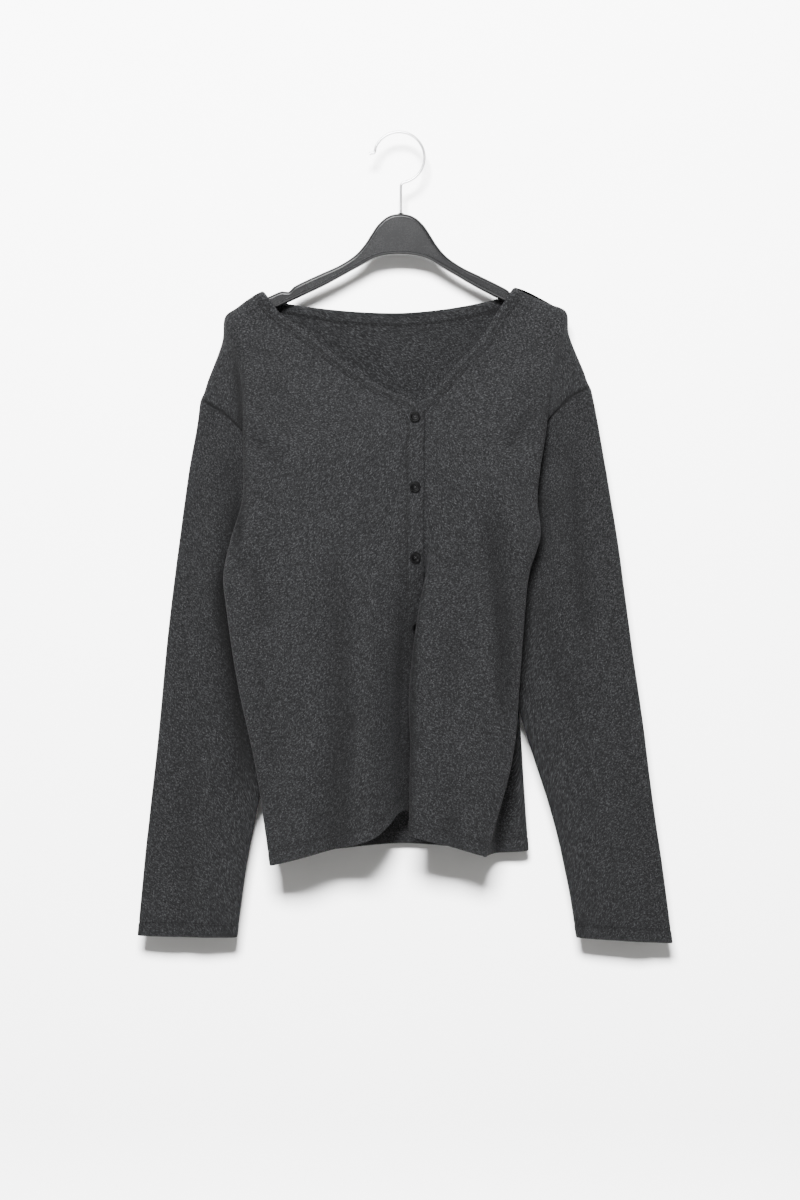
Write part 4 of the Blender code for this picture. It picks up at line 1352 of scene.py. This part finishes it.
def threadMesh():
    # two crossed pairs of thread through the holes
    shape = bmesh.new()
    reach = button["holeRing"]
    top = 0.62 * button["height"]
    for turn in (45, 135):
        for aside in (-0.16, 0.16):
            direction = Vector((math.cos(math.radians(turn)), math.sin(math.radians(turn)), 0))
            side = Vector((-direction.y, direction.x, 0))
            previous = None
            above = 0.12 if turn > 90 else 0
            for along, up in threadArch:
                centre = direction * (along * reach) + side * aside + Vector((0, 0, top + up + above))
                ring = []
                for k in range(6):
                    angle = 2 * math.pi * k / 6
                    offset = side * math.cos(angle) + Vector((0, 0, 1)) * math.sin(angle)
                    ring.append(shape.verts.new((centre + offset * button["threadRadius"]) * mm))
                if previous:
                    for k in range(6):
                        following = (k + 1) % 6
                        shape.faces.new((previous[k], previous[following], ring[following], ring[k]))
                else:
                    shape.faces.new(ring[::-1])
                previous = ring
            shape.faces.new(previous)
    bmesh.ops.recalc_face_normals(shape, faces=shape.faces)
    mesh = bpy.data.meshes.new("buttonThread")
    shape.to_mesh(mesh)
    shape.free()
    mesh.shade_smooth()
    return mesh


def placketPlace(surface, edgeGap, drop):
    # on the outer face of the placket, midway between its edge and its stitching
    middle = frontEdges["placketStitch"] / 2
    line = np.array([
        [np.interp(middle, gap, row[:, k]) for k in range(3)] for row, gap in zip(surface, edgeGap)
    ])
    stop = len(line) - 1
    row = int(np.clip(np.searchsorted(line[:, 1], drop), 1, stop))
    share = (drop - line[row - 1, 1]) / (line[row, 1] - line[row - 1, 1])
    place = between(line[row - 1], line[row], share)
    down = unit(line[min(row + 6, stop)] - line[max(row - 7, 0)])
    spread = [
        [np.interp(middle + aside, edgeGap[row], surface[row][:, k]) for k in range(3)] for aside in (4, -4)
    ]
    across = unit(np.array(spread[1]) - np.array(spread[0]))
    outward = unit(np.cross(across, down))
    if outward[2] > 0:
        outward = -outward
    return place, outward, down


def makeButtons():
    disc = buttonMesh()
    cross = threadMesh()
    slits = []
    for number in range(button["count"]):
        drop = button["first"] + number * button["spacing"]
        place, outward, down = placketPlace(rightPanel[2], rightPanel[5], drop)
        across = np.cross(down, outward)
        up = Vector((outward[0], outward[2], -outward[1]))
        along = Vector((down[0], down[2], -down[1]))
        aside = up.cross(along)
        turn = Matrix.Identity(3)
        turn.col[0], turn.col[1], turn.col[2] = aside.normalized(), along.normalized(), up.normalized()
        seat = Vector((place[0], place[2], -place[1])) + up * 0.35
        parts = (("buttonDisc", disc, buttonPlastic), ("buttonThread", cross, buttonThread))
        for label, mesh, finish in parts:
            piece = linkObject(f"{label}{number + 1}", mesh.copy(), finish)
            piece.matrix_world = turn.to_4x4()
            piece.matrix_world.translation = seat * mm
            dress(piece, f"button_{number + 1}" if label == "buttonDisc" else None)
        # the worked buttonhole that the button passes through, a short upright slit
        for side in (-0.7, 0.7):
            stations = np.linspace(-button["holeSlit"] / 2, button["holeSlit"] / 2, 14)
            line = place + down * stations[:, None] + across * side
            slits.append((line, np.tile(outward, (14, 1))))
    closeStitch = dict(stitching, length=1.5, gap=-0.6, radius=0.27)
    dress(stitchPiece("buttonholeStitches", slits, thread, closeStitch), None)


print("buttons")
makeButtons()

studio = {
    "wallDepth": 26.0, "floorDrop": 1350.0, "halfWidth": 2600.0, "forward": 3600.0, "rise": 1500.0,
    "coveRadius": 300.0,
}


def paleBackdrop():
    # a wall just behind the garment that curves out into the floor; seen through from behind
    material, nodes, links, shader = emptyMaterial("paleBackdrop")
    shader.inputs["Roughness"].default_value = 0.9
    place = nodes.new("ShaderNodeTexCoord").outputs["Object"]
    tone = noiseNode(nodes, links, place, 3.0, 2.0)
    links.new(rampNode(nodes, links, tone, ((0.0, (0.86, 0.855, 0.85)), (1.0, (0.9, 0.897, 0.893)))),
              shader.inputs["Base Color"])
    clear = nodes.new("ShaderNodeBsdfTransparent")
    choose = nodes.new("ShaderNodeMixShader")
    links.new(nodes.new("ShaderNodeNewGeometry").outputs["Backfacing"], choose.inputs[0])
    links.new(shader.outputs[0], choose.inputs[1])
    links.new(clear.outputs[0], choose.inputs[2])
    links.new(choose.outputs[0], nodes["Material Output"].inputs["Surface"])
    coveTop = studio["floorDrop"] - studio["coveRadius"]
    profile = [(studio["wallDepth"], -studio["rise"]), (studio["wallDepth"], coveTop)]
    for k in range(1, 13):
        angle = math.pi / 2 * k / 12
        profile.append((
            studio["wallDepth"] - studio["coveRadius"] * (1 - math.cos(angle)),
            studio["floorDrop"] - studio["coveRadius"] * (1 - math.sin(angle)),
        ))
    profile.append((-studio["forward"], studio["floorDrop"]))
    corners = []
    for side in (-studio["halfWidth"], studio["halfWidth"]):
        corners += [(side * mm, depth * mm, -drop * mm) for depth, drop in profile]
    count = len(profile)
    faces = [(k, k + 1, count + k + 1, count + k) for k in range(count - 1)]
    mesh = bpy.data.meshes.new("paleBackdrop")
    mesh.from_pydata(corners, [], faces)
    mesh.shade_smooth()
    backdrop = linkObject("paleBackdrop", mesh, material)
    backdrop.visible_shadow = False
    backdrop.visible_diffuse = False


def addLight(name, place, target, size, power, colour):
    lamp = bpy.data.lights.new(name, "AREA")
    lamp.shape = "RECTANGLE"
    lamp.size, lamp.size_y = size
    lamp.energy = power
    lamp.color = colour
    made = bpy.data.objects.new(name, lamp)
    bpy.context.scene.collection.objects.link(made)
    made.location = place
    made.rotation_euler = (Vector(target) - Vector(place)).to_track_quat("-Z", "Y").to_euler()
    return made


def lightStudio():
    world = bpy.data.worlds.new("paleStudio")
    bpy.context.scene.world = world
    world.use_nodes = True
    world.node_tree.nodes["Background"].inputs[0].default_value = (1.0, 0.99, 0.965, 1)
    world.node_tree.nodes["Background"].inputs[1].default_value = 0.4
    addLight("keyLight", (-0.25, -2.6, 1.15), (0.0, 0.0, -0.45), (0.9, 0.6), 265.0, (0.985, 0.99, 1.0))
    # the wall is washed by a lamp of its own, and the garment still casts its shadow in it
    wash = addLight("wallWash", (-0.25, -2.6, 1.2), (0.0, 0.0, -0.45), (1.1, 0.8), 680.0, (0.99, 0.993, 1.0))
    wallOnly = bpy.data.collections.new("wallOnly")
    wallOnly.objects.link(bpy.data.objects["paleBackdrop"])
    wash.light_linking.receiver_collection = wallOnly
    addLight("backFill", (0.6, 2.6, 0.6), (0.0, 0.0, -0.45), (2.0, 2.0), 120.0, (0.98, 0.99, 1.0))


def aimCamera():
    # level, square to the wall, 2.5 m in front of the hanger
    camera = bpy.data.cameras.new("studioCamera")
    camera.sensor_fit = "VERTICAL"
    camera.sensor_height = 36.0
    camera.lens = 70.75
    made = bpy.data.objects.new("studioCamera", camera)
    bpy.context.scene.collection.objects.link(made)
    made.location = (0.00106, -2.5, -0.4946)
    made.rotation_euler = (math.pi / 2, 0.0, 0.0)
    bpy.context.scene.camera = made


print("studio")
paleBackdrop()
lightStudio()
aimCamera()

bpy.context.view_layer.update()
